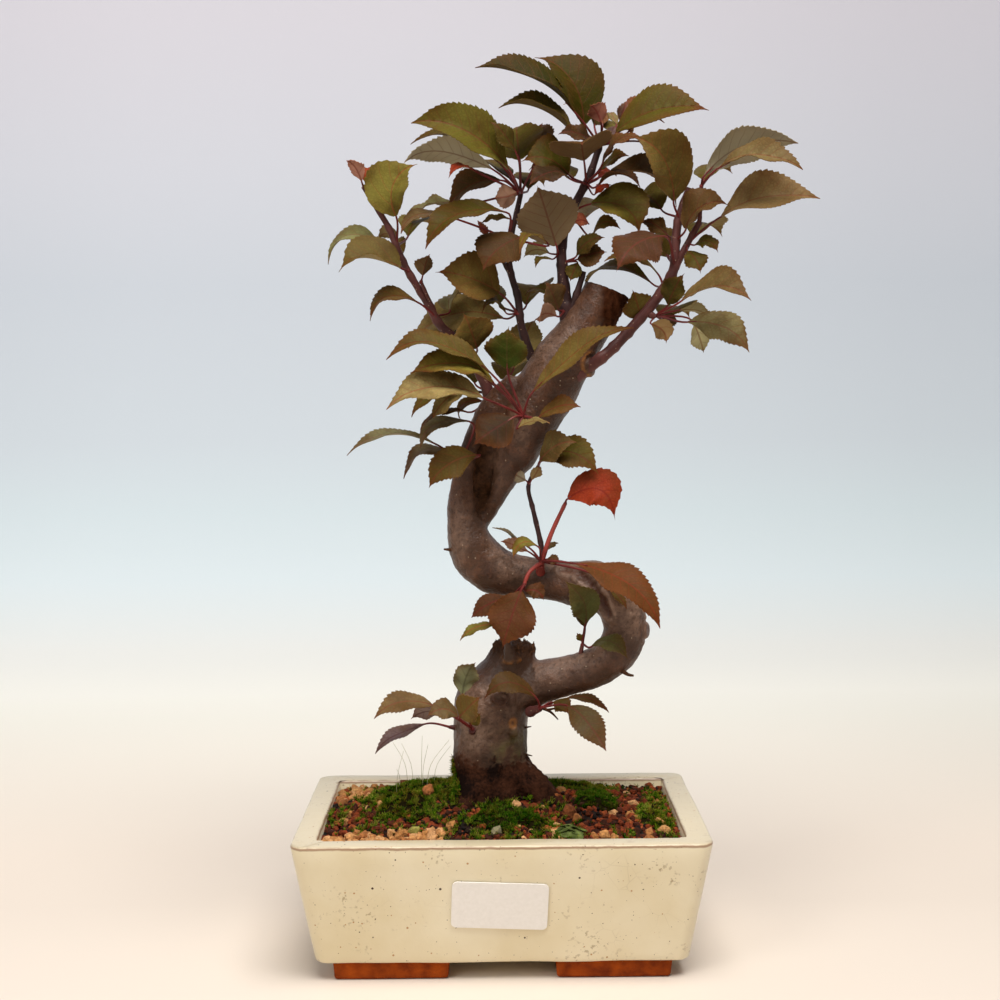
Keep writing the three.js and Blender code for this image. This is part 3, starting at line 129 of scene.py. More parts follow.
body_height = POT_HEIGHT - FOOT_HEIGHT
middle_z = FOOT_HEIGHT + body_height / 2
pot = new_box("glazed_pot", (POT_BASE_WIDTH, POT_BASE_DEPTH, body_height), (0, 0, middle_z))
pick(pot, lambda p, way: way.z > FLAT_WAY)
grow = (POT_WIDTH / POT_BASE_WIDTH, POT_DEPTH / POT_BASE_DEPTH, 1)
bpy.ops.transform.resize(value=grow, center_override=place([0, 0, POT_HEIGHT]))
pick(pot, lambda p, way: abs(way.z) > EDGE_WAY, "EDGE")
bpy.ops.mesh.bevel(offset=POT_CORNER * MM, segments=6, affect="EDGES")
pick(pot, lambda p, way: p.z < FOOT_HEIGHT + NEAR, "EDGE")
bpy.ops.mesh.bevel(offset=BASE_ROUND * MM, segments=3, affect="EDGES")
pick(pot, lambda p, way: way.z > FLAT_WAY)
bpy.ops.mesh.inset(thickness=POT_RIM * MM)
bpy.ops.mesh.extrude_region_move()
bpy.ops.transform.translate(value=(0, 0, (FLOOR_TOP - POT_HEIGHT) * MM))
floor_share = POT_FLOOR / body_height
both_walls = 2 * (POT_RIM + 1)
floor_width = POT_BASE_WIDTH + (POT_WIDTH - POT_BASE_WIDTH) * floor_share - both_walls
floor_depth = POT_BASE_DEPTH + (POT_DEPTH - POT_BASE_DEPTH) * floor_share - both_walls
shrink = (floor_width / (POT_WIDTH - 2 * POT_RIM), floor_depth / (POT_DEPTH - 2 * POT_RIM), 1)
bpy.ops.transform.resize(value=shrink, center_override=place([0, 0, FLOOR_TOP]))
pick(pot, lambda p, way: abs(p.z - POT_HEIGHT) < NEAR and abs(way.z) < 0.5, "EDGE")
bpy.ops.mesh.bevel(offset=LIP_ROUND * MM, segments=3, affect="EDGES")
bpy.ops.object.mode_set(mode="OBJECT")
for side in (-1, 1):
    bpy.ops.object.select_all(action="DESELECT")
    bpy.ops.mesh.primitive_cylinder_add(
        vertices=32, radius=DRAIN_RADIUS * MM, depth=40 * MM, location=place([side * DRAIN_X, 0, FLOOR_TOP])
    )
    drill = bpy.context.object
    use_modifier(pot, "BOOLEAN", object=drill, operation="DIFFERENCE", solver="EXACT")
    bpy.data.objects.remove(drill)

# Cuts across x, y and z every few millimetres, so that the slabs can be given a hand-made
# unevenness. Each row is the axis, how far out the cuts reach, and how far apart they are.
UNEVEN, UNEVEN_WAVE, UNEVEN_UPWARDS, LOWEST_CUT = 0.28, 26, 0.3, 11.0
bpy.context.view_layer.objects.active = pot
bpy.ops.object.mode_set(mode="EDIT")
for axis, reach, step in ((0, 84, 6.0), (1, 54, 6.0), (2, 56, 6.5)):
    normal = [float(axis == k) for k in range(3)]
    start = LOWEST_CUT if axis == 2 else -reach
    for cut in np.arange(start, reach, step):
        bpy.ops.mesh.select_all(action="SELECT")
        bpy.ops.mesh.bisect(plane_co=place(np.array(normal) * cut), plane_no=normal)
bpy.ops.object.mode_set(mode="OBJECT")


def mesh_points(obj):
    """Vertices in millimetres about the pot's middle, and their normals."""
    n = len(obj.data.vertices)
    co, normals = np.empty(n * 3), np.empty(n * 3)
    obj.data.vertices.foreach_get("co", co)
    obj.data.vertices.foreach_get("normal", normals)
    return (co.reshape(-1, 3) - CENTRE) / MM, normals.reshape(-1, 3)


def move_points(obj, points):
    """Puts an object's vertices where the points are."""
    obj.data.vertices.foreach_set("co", place(points).ravel())
    obj.data.update()


def grain(points, size, octaves=2, seed=0.0):
    """Smooth noise of about -1 to 1 at each point, with bumps of the given size."""
    shift = Vector((seed, seed * 1.7, -seed))
    return np.array([noise.fractal(Vector(p) / size + shift, 0.9, 2.0, octaves) for p in points])


def paint(obj, name, values):
    """Stores a number, a vector or a colour at each vertex for the materials to read."""
    values = np.asarray(values, np.float32)
    kind = {1: "FLOAT", 3: "FLOAT_VECTOR", 4: "FLOAT_COLOR"}[1 if values.ndim == 1 else values.shape[1]]
    layer = obj.data.attributes.new(name, kind, "POINT")
    key = {"FLOAT": "value", "FLOAT_VECTOR": "vector", "FLOAT_COLOR": "color"}[kind]
    layer.data.foreach_set(key, values.ravel())


points, normals = mesh_points(pot)
points = points + normals * UNEVEN * grain(points, UNEVEN_WAVE)[:, None]
points[:, 2] = np.minimum(points[:, 2], POT_HEIGHT + UNEVEN_UPWARDS)
move_points(pot, points)


def srgb(code):
    """A colour written as sRGB hex, turned to linear."""
    parts = [int(code[i:i + 2], 16) / 255 for i in (1, 3, 5)]
    return (*[c / 12.92 if c <= 0.04045 else ((c + 0.055) / 1.055) ** 2.4 for c in parts], 1.0)


# Sockets of a colour mix: how much of the second colour, then the two colours
FACTOR, FIRST, SECOND = 0, 6, 7


def feed(tree, item, sockets):
    """Fills a node's sockets with values, or links other nodes to them."""
    for key, value in sockets.items():
        if isinstance(value, bpy.types.Node):
            value = next(socket for socket in value.outputs if socket.enabled)
        if isinstance(value, bpy.types.NodeSocket):
            tree.links.new(value, item.inputs[key])
        else:
            item.inputs[key].default_value = srgb(value) if isinstance(value, str) else value


def add_node(tree, kind, sockets=None, stops=(), **settings):
    """Adds one shader node, sets its options and feeds its sockets."""
    item = tree.nodes.new("ShaderNode" + kind)
    for key, value in settings.items():
        setattr(item, key, value)
    feed(tree, item, sockets or {})
    for i, (spot, colour) in enumerate(stops):
        stop = item.color_ramp.elements[i] if i < 2 else item.color_ramp.elements.new(spot)
        stop.position, stop.color = spot, srgb(colour)
    return item


def new_material(name):
    """A material, its nodes, its shader, and the place on the piece that its patterns follow."""
    material = bpy.data.materials.new(name)
    material.use_nodes = True
    tree = material.node_tree
    return material, tree, tree.nodes["Principled BSDF"], add_node(tree, "TexCoord").outputs["Object"]


def per_metre(size_mm):
    """Texture scale that gives features of a real size."""
    return 1 / (size_mm * MM)


# Satin cream glaze: a thick, slightly green-cast coat over iron-bearing clay, so the
# colour pools and thins softly, with burnt iron specks, tan spots and pinholes.
# Heights: where the rim's darker, greyer tint begins and is full, partly a greyer glaze on the rim and
# partly painted shade that tones down the top light on it; then the burnt line, and how far it wavers
RIM_PAINTED_SHADE_FROM, RIM_PAINTED_SHADE_TO, BURNT_LINE, BURNT_SHAKE = 57.5, 59.2, 59.1, 1.2
glaze, tree, shader, spot = new_material("cream_stoneware_glaze")
soft = add_node(tree, "TexNoise", {"Vector": spot, "Scale": per_metre(30), "Detail": 5.0})
body = add_node(tree, "ValToRGB", {"Fac": soft}, stops=[(0.30, "#DCCDA8"), (0.72, "#E8DDC0")])
height = add_node(tree, "SeparateXYZ", {"Vector": spot}).outputs["Z"]
rim_painted_shade = add_node(tree, "MapRange", {
    "Value": height, "From Min": RIM_PAINTED_SHADE_FROM * MM, "From Max": RIM_PAINTED_SHADE_TO * MM})
# painted shade: the rim's top is greyed and darkened against the light from above
colour = add_node(tree, "Mix", {FACTOR: rim_painted_shade, FIRST: body, SECOND: "#CFC0A0"}, data_type="RGBA")
# Specks and spots: how far apart in millimetres, their share of that, colour and seed
for apart, share, tone, seed in (
    (1.3, 0.15, "#6E5636", 9.4), (1.9, 0.13, "#5A3A20", 0.0), (3.4, 0.11, "#38200F", 5.2),
    (5.5, 0.10, "#3F2413", 3.1), (3.1, 0.16, "#B58A58", 7.7),
):
    shifted = add_node(tree, "Mapping", {"Vector": spot, "Location": (seed, seed, seed)})
    cells = add_node(tree, "TexVoronoi", {"Vector": shifted, "Scale": per_metre(apart)})
    rare = add_node(tree, "SeparateColor", {"Color": cells.outputs["Color"]}).outputs
    keep = add_node(tree, "Math", {0: rare["Red"], 1: 0.68}, operation="GREATER_THAN")
    width = add_node(tree, "Math", {0: rare["Green"], 1: share}, operation="MULTIPLY")
    inside = add_node(tree, "Math", {0: cells, 1: width}, operation="LESS_THAN")
    speck = add_node(tree, "Math", {0: inside, 1: keep}, operation="MULTIPLY")
    colour = add_node(tree, "Mix", {FACTOR: speck, FIRST: colour, SECOND: tone}, data_type="RGBA")
# Hair cracks with rubbed-in dirt, only here and there
cracks = add_node(tree, "TexVoronoi", {"Vector": spot, "Scale": per_metre(7)}, feature="DISTANCE_TO_EDGE")
line = add_node(tree, "Math", {0: cracks, 1: 0.018}, operation="LESS_THAN")
where = add_node(tree, "TexNoise", {"Vector": spot, "Scale": per_metre(48), "Detail": 3.0})
patch = add_node(tree, "MapRange", {"Value": where, "From Min": 0.60, "From Max": 0.78, "To Max": 0.3})
crackle = add_node(tree, "Math", {0: line, 1: patch}, operation="MULTIPLY")
cracked = add_node(tree, "Mix", {FACTOR: crackle, FIRST: colour, SECOND: "#7A5E38"}, data_type="RGBA")
# Crumbs and smears of dried soil in a few places
grime = add_node(tree, "TexNoise", {"Vector": spot, "Scale": per_metre(19), "Detail": 3.0})
dusty = add_node(tree, "MapRange", {"Value": grime, "From Min": 0.55, "From Max": 0.66, "To Max": 0.65})
crumbs = add_node(tree, "TexNoise", {"Vector": spot, "Scale": per_metre(1.7), "Detail": 5.0})
crumbly = add_node(tree, "MapRange", {"Value": crumbs, "From Min": 0.58, "From Max": 0.64})
smudge = add_node(tree, "Math", {0: dusty, 1: crumbly}, operation="MULTIPLY")
smudged = add_node(tree, "Mix", {FACTOR: smudge, FIRST: cracked, SECOND: "#8A7148"}, data_type="RGBA")
# The glaze runs thin just under the rim's edges and the clay burns through in a thin line
ragged = add_node(tree, "TexNoise", {"Vector": spot, "Scale": per_metre(5), "Detail": 6.0})
shaky = add_node(tree, "Math", {0: ragged, 1: BURNT_SHAKE * MM, 2: height}, operation="MULTIPLY_ADD")
off_line = add_node(tree, "Math", {0: shaky, 1: BURNT_LINE * MM}, operation="SUBTRACT")
off_line = add_node(tree, "Math", {0: off_line}, operation="ABSOLUTE")
through = add_node(tree, "MapRange", {
    "Value": off_line, "From Min": 0.75 * MM, "From Max": 0.25 * MM, "To Max": 0.75})
rimmed = add_node(tree, "Mix", {FACTOR: through, FIRST: smudged, SECOND: "#8A6044"}, data_type="RGBA")
uneven = add_node(tree, "MapRange", {"Value": ragged, "To Min": 0.24, "To Max": 0.42})
orange_peel = add_node(tree, "TexNoise", {"Vector": spot, "Scale": per_metre(3.2), "Detail": 3.0})
peel = add_node(tree, "Bump", {"Height": orange_peel, "Strength": 0.35, "Distance": 0.3 * MM})
feed(tree, shader, {
    "Base Color": rimmed, "Roughness": uneven, "Normal": peel, "IOR": 1.5, "Coat Weight": 0.2,
    "Coat Roughness": 0.2})

# Bare fired clay: orange-brown, matt and sandy, darker where it was handled
bare_clay, tree, shader, spot = new_material("bare_red_stoneware")
sand = add_node(tree, "TexNoise", {"Vector": spot, "Scale": per_metre(6), "Detail": 8.0})
tone = add_node(tree, "ValToRGB", {"Fac": sand}, stops=[(0.3, "#6C2806"), (0.7, "#A84A0C")])
grit = add_node(tree, "TexNoise", {"Vector": spot, "Scale": per_metre(0.8), "Detail": 4.0})
rough = add_node(tree, "Bump", {"Height": grit, "Strength": 0.5, "Distance": 0.4 * MM})
feed(tree, shader, {"Base Color": tone, "Normal": rough, "Roughness": 0.85, "Specular IOR Level": 0.15})

pot.data.materials.clear()
pot.data.materials.append(glaze)
feet = []
for side_x in (-1, 1):
    for side_y in (-1, 1):
        size = (FOOT_LENGTH, FOOT_DEPTH, FOOT_HEIGHT + FOOT_SUNK)
        middle = (side_x * FOOT_X, side_y * FOOT_Y, (FOOT_HEIGHT + FOOT_SUNK) / 2)
        foot = new_box("foot", size, middle)
        pick(foot, lambda p, way: way.z < -FLAT_WAY)
        taper = (1 - FOOT_TAPER[0] / FOOT_LENGTH, 1 - FOOT_TAPER[1] / FOOT_DEPTH, 1)
        bpy.ops.transform.resize(value=taper, center_override=place([*middle[:2], 0]))
        bpy.ops.mesh.select_all(action="SELECT")
        bpy.ops.mesh.bevel(offset=FOOT_ROUND * MM, segments=3, affect="EDGES")
        bpy.ops.mesh.select_all(action="SELECT")
        bpy.ops.mesh.subdivide(number_cuts=2)
        bpy.ops.object.mode_set(mode="OBJECT")
        points, normals = mesh_points(foot)
        points += normals * FOOT_UNEVEN * grain(points, FOOT_WAVE, 3)[:, None]
        points[:, 2] = np.maximum(points[:, 2], 0)
        move_points(foot, points)
        foot.data.materials.append(bare_clay)
        feet.append(foot)


def join(target, others):
    """Makes the others part of the target."""
    take(target, *others)
    bpy.ops.object.join()


def smooth(obj, degrees):
    """Rounds the shading over every edge that bends less than this."""
    take(obj)
    bpy.ops.object.shade_smooth_by_angle(angle=math.radians(degrees))


join(pot, feet)
smooth(pot, 40)
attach(pot, "root")
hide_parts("pot")

# Label
# A blank stick-on paper label on the front face, die-cut with round corners; plain white
# coated paper, a little grey from handling.

paper, tree, shader, spot = new_material("coated_label_paper")
fibre = add_node(tree, "TexNoise", {"Vector": spot, "Scale": per_metre(1.5), "Detail": 6.0})
tone = add_node(tree, "ValToRGB", {"Fac": fibre}, stops=[(0.3, "#E9E5DF"), (0.7, "#EFEBE6")])
ripple = add_node(tree, "TexNoise", {"Vector": spot, "Scale": per_metre(12), "Detail": 1.0})
cockle = add_node(tree, "Bump", {"Height": ripple, "Strength": 0.12, "Distance": 0.3 * MM})
feed(tree, shader, {"Base Color": tone, "Normal": cockle, "Roughness": 0.55})


def dress(name, material):
    """Gives a part from the frame its material."""
    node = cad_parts[name]
    node.data.materials.clear()
    node.data.materials.append(material)


dress("blank_label", paper)

# Drainage mesh
# Two squares of moulded dark green polyethylene mesh over the drain holes, under the soil,
# dusty from it.

plastic, tree, shader, spot = new_material("dark_green_polyethylene")
dust = add_node(tree, "TexNoise", {"Vector": spot, "Scale": per_metre(4), "Detail": 4.0})
tone = add_node(tree, "ValToRGB", {"Fac": dust}, stops=[(0.35, "#223026"), (0.75, "#4A4A3A")])
feed(tree, shader, {"Base Color": tone, "Roughness": 0.6})
dress("drain_mesh_left", plastic)
dress("drain_mesh_right", plastic)

# Soil
# Baked-clay grains of 1 to 4 mm with dark humus crumbs and some larger pumice, tipped
# loosely round the trunk so that it rises to a low mound, on a bed of packed fines.

SOIL_BELOW_RIM, MOUND = 3.5, 13.0
# How many grains, how far their block is rounded, and how deep they sink in
GRAINS, GRAIN_ROUND, GRAIN_SUNK = 2700, 0.75, 0.9
random = np.random.default_rng(11)


def soil_height(x, y):
    """Height of the soil's surface: a low mound with lumps."""
    mound = MOUND * np.exp(-((x + 8) ** 2) / 3200 - (y * y) / 1100)
    lumps = 0.7 * np.sin(x * 0.41 + 1.3 * np.sin(y * 0.37)) * np.cos(y * 0.53 + x * 0.11)
    return POT_HEIGHT - SOIL_BELOW_RIM + mound + lumps


def new_mesh(name, points, faces, materials, which=None):
    """An object from points in millimetres, its faces and the material of each face."""
    mesh = bpy.data.meshes.new(name)
    mesh.from_pydata(place(points).tolist(), [], [list(map(int, f)) for f in faces])
    for material in materials:
        mesh.materials.append(material)
    if which is not None:
        mesh.polygons.foreach_set("material_index", np.asarray(which, np.int32))
    obj = bpy.data.objects.new(name, mesh)
    bpy.context.scene.collection.objects.link(obj)
    return obj


def mottled(tree, colour, texture, least, most):
    """A colour that a noise makes darker and lighter, between two shares of its own level."""
    level = add_node(tree, "MapRange", {
        "Value": texture, "From Min": 0.3, "From Max": 0.7, "To Min": least, "To Max": most})
    return add_node(tree, "Mix", {
        FACTOR: 1.0, FIRST: colour, SECOND: level}, data_type="RGBA", blend_type="MULTIPLY")


# Soil colours: red-brown baked clay, tan pumice, near-black humus. Each grain carries its
# own shade, and a fine noise gives the dusty, porous skin.
soil_finish, tree, shader, spot = new_material("baked_clay_soil")
shade = add_node(tree, "Attribute", attribute_name="shade")
dust = add_node(tree, "TexNoise", {"Vector": spot, "Scale": per_metre(1.1), "Detail": 6.0})
pores = add_node(tree, "TexNoise", {"Vector": spot, "Scale": per_metre(0.5), "Detail": 5.0})
pitted = add_node(tree, "Bump", {"Height": pores, "Strength": 0.8, "Distance": 0.4 * MM})
feed(tree, shader, {
    "Base Color": mottled(tree, shade, dust, 0.55, 1.35), "Normal": pitted, "Roughness": 0.95,
    "Specular IOR Level": 0.25})

CLAY = ["#702F14", "#803717", "#56240C", "#8E4420", "#481E0C", "#38190B"]
PUMICE = ["#BA8450", "#A4703E", "#C49262", "#9A6236"]
HUMUS = ["#20140E", "#2C1C12", "#160E0A"]
OFF_WALL = 0.7
WALL_INSIDE_X, WALL_INSIDE_Y = POT_WIDTH / 2 - POT_RIM - OFF_WALL, POT_DEPTH / 2 - POT_RIM - OFF_WALL

# Bed: a grid that follows the mound, closed below by its own sides and floor
steps_x, steps_y = 76, 48
xs = np.linspace(-WALL_INSIDE_X, WALL_INSIDE_X, steps_x + 1)
ys = np.linspace(-WALL_INSIDE_Y, WALL_INSIDE_Y, steps_y + 1)
gx, gy = np.meshgrid(xs, ys, indexing="ij")
flat = np.stack([gx.ravel(), gy.ravel(), np.zeros(gx.size)], 1)
top = soil_height(gx.ravel(), gy.ravel()) - 1.2 + 0.7 * grain(flat, 3.5, 3)
narrow = [(floor_width - 1) / 2 / WALL_INSIDE_X, (floor_depth - 1) / 2 / WALL_INSIDE_Y]
low = np.stack([flat[:, 0] * narrow[0], flat[:, 1] * narrow[1], np.full(len(flat), FLOOR_TOP + 0.3)], 1)
bed = np.concatenate([np.stack([flat[:, 0], flat[:, 1], top], 1), low])
index = np.arange(gx.size).reshape(gx.shape)
faces = []
for i in range(steps_x):
    for j in range(steps_y):
        a, b, c, d = index[i, j], index[i + 1, j], index[i + 1, j + 1], index[i, j + 1]
        faces += [(a, b, c, d), (d + gx.size, c + gx.size, b + gx.size, a + gx.size)]
border = [*index[:-1, 0], *index[-1, :-1], *index[:0:-1, -1], *index[0, :0:-1]]
for a, b in zip(border, border[1:] + border[:1]):
    faces.append((b, a, a + gx.size, b + gx.size))
soil_bed = new_mesh("soil_bed", bed, faces, [soil_finish])
tones = np.array([srgb(c) for c in HUMUS + CLAY[:3]])
patchy = np.clip((grain(bed, 9, 2, 5.0) + 1) * 3, 0, 5.99).astype(int)
paint(soil_bed, "shade", tones[patchy])
smooth(soil_bed, 180)

# Grains: one rounded block, copied with its own turn, size and dents
bm = bmesh.new()
bmesh.ops.create_cube(bm, size=2)
bmesh.ops.bevel(bm, geom=bm.edges[:], offset=GRAIN_ROUND, segments=1, affect="EDGES")
bmesh.ops.triangulate(bm, faces=bm.faces[:])
block = np.array([v.co for v in bm.verts])
block_faces = np.array([[v.index for v in f.verts] for f in bm.faces])
bm.free()


def turned(count):
    """Random turns, as one matrix for each copy."""
    q = random.normal(size=(count, 4))
    q /= np.linalg.norm(q, axis=1)[:, None]
    w, x, y, z = q.T
    return np.stack([
        1 - 2 * (y * y + z * z), 2 * (x * y - w * z), 2 * (x * z + w * y),
        2 * (x * y + w * z), 1 - 2 * (x * x + z * z), 2 * (y * z - w * x),
        2 * (x * z - w * y), 2 * (y * z + w * x), 1 - 2 * (x * x + y * y)], 1).reshape(-1, 3, 3)


def trunk_reach(x, y):
    """Distance outside the trunk's foot, in millimetres."""
    return np.hypot((x + 4.5) / 1.05, y) - 17.5


grains = []
while len(grains) < GRAINS:
    x = random.uniform(-WALL_INSIDE_X + 1.2, WALL_INSIDE_X - 1.2)
    y = random.uniform(-WALL_INSIDE_Y + 1.2, WALL_INSIDE_Y - 1.2)
    if trunk_reach(x, y) < -1:
        continue
    front_left = x < -23 and y < -35 + 3 * math.sin(x * 0.4)
    back_left = x < -58 and y > 6
    pumice = random.random() < (0.9 if front_left else 0.5 if back_left else 0.03)
    humus = (-36 < x < -12 and y < -18) or trunk_reach(x, y) < 9
    dark = not pumice and random.random() < (0.7 if humus else 0.14)
    smallest, largest = (1.2, 2.5) if pumice else (0.5, 1.1) if dark else (0.6, 1.75)
    size = random.uniform(smallest, largest)
    kinds = PUMICE if pumice else HUMUS if dark else CLAY
    grains.append((x, y, size, random.uniform(-0.5, 0.9), *srgb(kinds[random.integers(len(kinds))])))
# Single lumps that lie on top: x, y, half size, how far raised, colour
for x, y, size, raised, colour in (
    (-31, -11, 2.4, 5.6, "#A8683A"), (-54, 31, 2.7, 1.4, "#7E4526"), (-66, 31, 2.5, 1.4, "#B98A54"),
    (-64, 24, 2.4, 1.2, "#AA7644"), (-59, 20, 2.6, 1.2, "#905430"), (28.5, -22, 2.8, 2.2, "#74401F"),
    (23, -8, 1.9, 1.8, "#A45C30"), (17.5, 22, 2.6, 3.0, "#8E6038"), (42, -39, 2.7, 1.4, "#B8824C"),
    (38, -40.5, 2.1, 1.2, "#A86E3C"), (66, -22, 2.6, 1.4, "#B07C48"), (61, -34, 2.4, 1.2, "#A87040"),
    (67.5, -31, 2.2, 1.2, "#BC8A54"), (-2, -40, 2.6, 1.6, "#857C5E"), (-36, -37, 2.4, 1.4, "#8C8440"),
    (9, 30, 2.3, 3.0, "#5C3620"), (-44, 34, 2.4, 2.4, "#5A3018"), (-30, 38, 2.2, 2.6, "#4C2814"),
):
    grains.append((x, y, size, raised, *srgb(colour)))
grains = np.array(grains)
count = len(grains)
stretch = random.uniform(0.75, 1.2, (count, 1, 3)) * grains[:, 2][:, None, None]
dents = 1 + random.uniform(-0.16, 0.16, (count, len(block), 1))
copies = (block[None] * dents * stretch) @ turned(count)
level = soil_height(grains[:, 0], grains[:, 1]) - GRAIN_SUNK + grains[:, 3]
copies += np.stack([grains[:, 0], grains[:, 1], level], 1)[:, None]
copies[:, :, 0] = np.clip(copies[:, :, 0], -WALL_INSIDE_X, WALL_INSIDE_X)
copies[:, :, 1] = np.clip(copies[:, :, 1], -WALL_INSIDE_Y, WALL_INSIDE_Y)
faces = (block_faces[None] + (np.arange(count) * len(block))[:, None, None]).reshape(-1, 3)
soil_grains = new_mesh("soil_grains", copies.reshape(-1, 3), faces, [soil_finish])
paint(soil_grains, "shade", np.repeat(grains[:, 4:], len(block), 0))
for piece in (soil_bed, soil_grains):
    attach(piece, "root")
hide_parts("soil")

# Trunk
# The living trunk: smooth grey-brown apple bark with lenticels, dark and flaking where it
# is wet near the soil, with a torn stub, a dead-wood cleft, healed knots, pruning scars
# and a slanting saw cut at the top. It grew as one piece with its four root flares.

# Limbs and root flares, as lines of x, y, z and radius
TRUNK_LINES = {
    "base": [
        [-4, 0, 48, 17], [-4.5, 0, 57, 18.5], [-4.6, 0, 66, 17.4], [-4.6, 0, 76, 16.3],
        [-4.5, 0, 88, 15.9], [-4.1, 0, 98, 16.1], [-2.6, 0, 107, 16.2], [1.8, 1, 115, 13],
        [5.2, 2, 123, 10.6], [6.4, 2, 131.5, 8.4],
    ],
    "loop": [
        [4, 0, 109, 12], [16, -1, 114, 9.6], [30, -3, 117.6, 8.4], [41, -5, 121.3, 8.5],
        [48.6, -7, 127, 8.7], [52.6, -8, 135, 9], [53, -9, 143, 9.5], [49.5, -8.5, 151.5, 10],
        [42, -6, 156.6, 10.2], [33, -2, 156.9, 9.8], [23, 1, 158, 8.8], [12, 2, 159.6, 8.9],
        [1.5, 2, 161.3, 10], [-7, 1, 166.4, 10.6], [-12.3, 0, 174, 9.8], [-14, 0, 183, 8.2],
        [-14.6, 0, 191, 7.2], [-14.6, 0, 199, 6.3], [-12.8, 0, 208, 5.4], [-9.6, 0, 217, 5.4],
        [-4.6, 0, 227, 6.4], [1.5, 0, 236, 6.2], [5.4, -1, 241, 5.2], [7.6, -1, 245.3, 3.8],
    ],
    "crown": [
        [-12, 3, 182, 6], [-6.5, 2.5, 189.5, 6], [-2.2, 2, 196, 5.8], [2.6, 1, 204, 6.6],
        [7, 0, 212, 9.2], [10, 0, 220, 11.2], [14.6, 0, 230, 12.8], [20.6, 0, 240, 13],
        [26.4, 0, 250, 12.6], [31.8, 0, 258, 11.4], [36.6, 0, 265, 10.6], [41.6, 0, 273, 10.3],
        [49.5, 0, 286, 9.8],
    ],
    "heart": [[-9, 5, 192, 5], [-7.6, 6, 204, 6], [-5, 6, 216, 7.4], [0, 4, 228, 8]],
}
ROOTS = [
    [[2, -2, 76, 11], [13, -4, 68.5, 8.4], [21, -7, 62.5, 5.8], [29, -9, 56.5, 4.2], [35, -10, 50, 3]],
    [[-8, -5, 74, 10.5], [-14, -12, 65, 7.6], [-20, -18, 57.5, 5], [-25, -22, 51, 3.6]],
    [[-6, 6, 74, 10.5], [-12, 14, 65.5, 7.2], [-19, 21, 57.5, 5], [-24, 26, 50, 3.6]],
    [[2, 6, 73, 10], [9, 14, 64.5, 6.6], [15, 22, 56.5, 4.6], [19, 27, 50, 3.4]],
]
# Knots and scars: middle, half width, half depth, half height
KNOTS = [
    ([-1, -14.2, 110], 4.6, 3.4, 4.6), ([5.8, -14.4, 96], 2.4, 2, 3), ([60.5, -9, 138], 3.4, 4, 3.6),
    ([4.6, -7.4, 126], 4.4, 4, 3.2), ([37.6, -6, 249.5], 4.2, 4.6, 4.6),
]
CUT_POINT, CUT_WAY = np.array([47.5, 0, 281.8]), np.array([0.36, 0, 0.93])
CUT_WAY /= np.linalg.norm(CUT_WAY)


def smooth_line(knots, steps):
    """A smooth line through points of x, y, z and radius."""
    knots = np.asarray(knots, float)
    out = []
    for i in range(len(knots) - 1):
        p0, p1 = knots[max(i - 1, 0)], knots[i]
        p2, p3 = knots[i + 1], knots[min(i + 2, len(knots) - 1)]
        for s in range(steps):
            t = s / steps
            bend = 2 * p0 - 5 * p1 + 4 * p2 - p3
            twist = -p0 + 3 * p1 - 3 * p2 + p3
            out.append(0.5 * (2 * p1 + (p2 - p0) * t + bend * t * t + twist * t * t * t))
    return np.array([*out, knots[-1]])


def unit(a):
    """The same direction with a length of 1."""
    return a / (np.linalg.norm(a) or 1.0)


def tube(line, sides, points, faces):
    """Adds a closed round tube along a line of x, y, z and radius."""
    side = None
    start = len(points)
    for i, row in enumerate(line):
        along = unit(line[min(i + 1, len(line) - 1)][:3] - line[max(i - 1, 0)][:3])
        if side is None:
            side = np.array([0.0, 1, 0]) if abs(along[1]) < 0.9 else np.array([1.0, 0, 0])
        side = unit(side - along * side.dot(along))
        other = np.cross(along, side)
        for j in range(sides):
            a = 2 * math.pi * j / sides
            points.append(row[:3] + row[3] * (side * math.cos(a) + other * math.sin(a)))
    for i in range(len(line) - 1):
        for j in range(sides):
            a, b = start + i * sides + j, start + i * sides + (j + 1) % sides
            faces.append((a, b, b + sides, a + sides))
    faces.append(tuple(start + j for j in reversed(range(sides))))
    last = start + (len(line) - 1) * sides
    faces.append(tuple(last + j for j in range(sides)))


# A short dead twig that stands on the front of the torn stub
STUB_TWIG = [[4.6, -7, 121, 3.6], [4.4, -9.5, 126, 2.7], [3.6, -11, 131, 1.9], [3, -11.6, 135, 1.5]]

# Steps from one point of a limb to the next, and sides round it
LIMB_STEPS, LIMB_SIDES = 5, 28
points, faces = [], []
for knots in [*TRUNK_LINES.values(), *ROOTS, STUB_TWIG]:
    tube(smooth_line(knots, LIMB_STEPS), LIMB_SIDES, points, faces)
trunk = new_mesh("bark_trunk", np.array(points), faces, [])
knobs = []
for middle, rx, ry, rz in KNOTS:
    bpy.ops.object.select_all(action="DESELECT")
    bpy.ops.mesh.primitive_uv_sphere_add(segments=24, ring_count=12, radius=MM, location=place(middle))
    bpy.context.object.scale = (rx, ry, rz)
    knobs.append(bpy.context.object)
    apply_all(knobs[-1])
join(trunk, knobs)
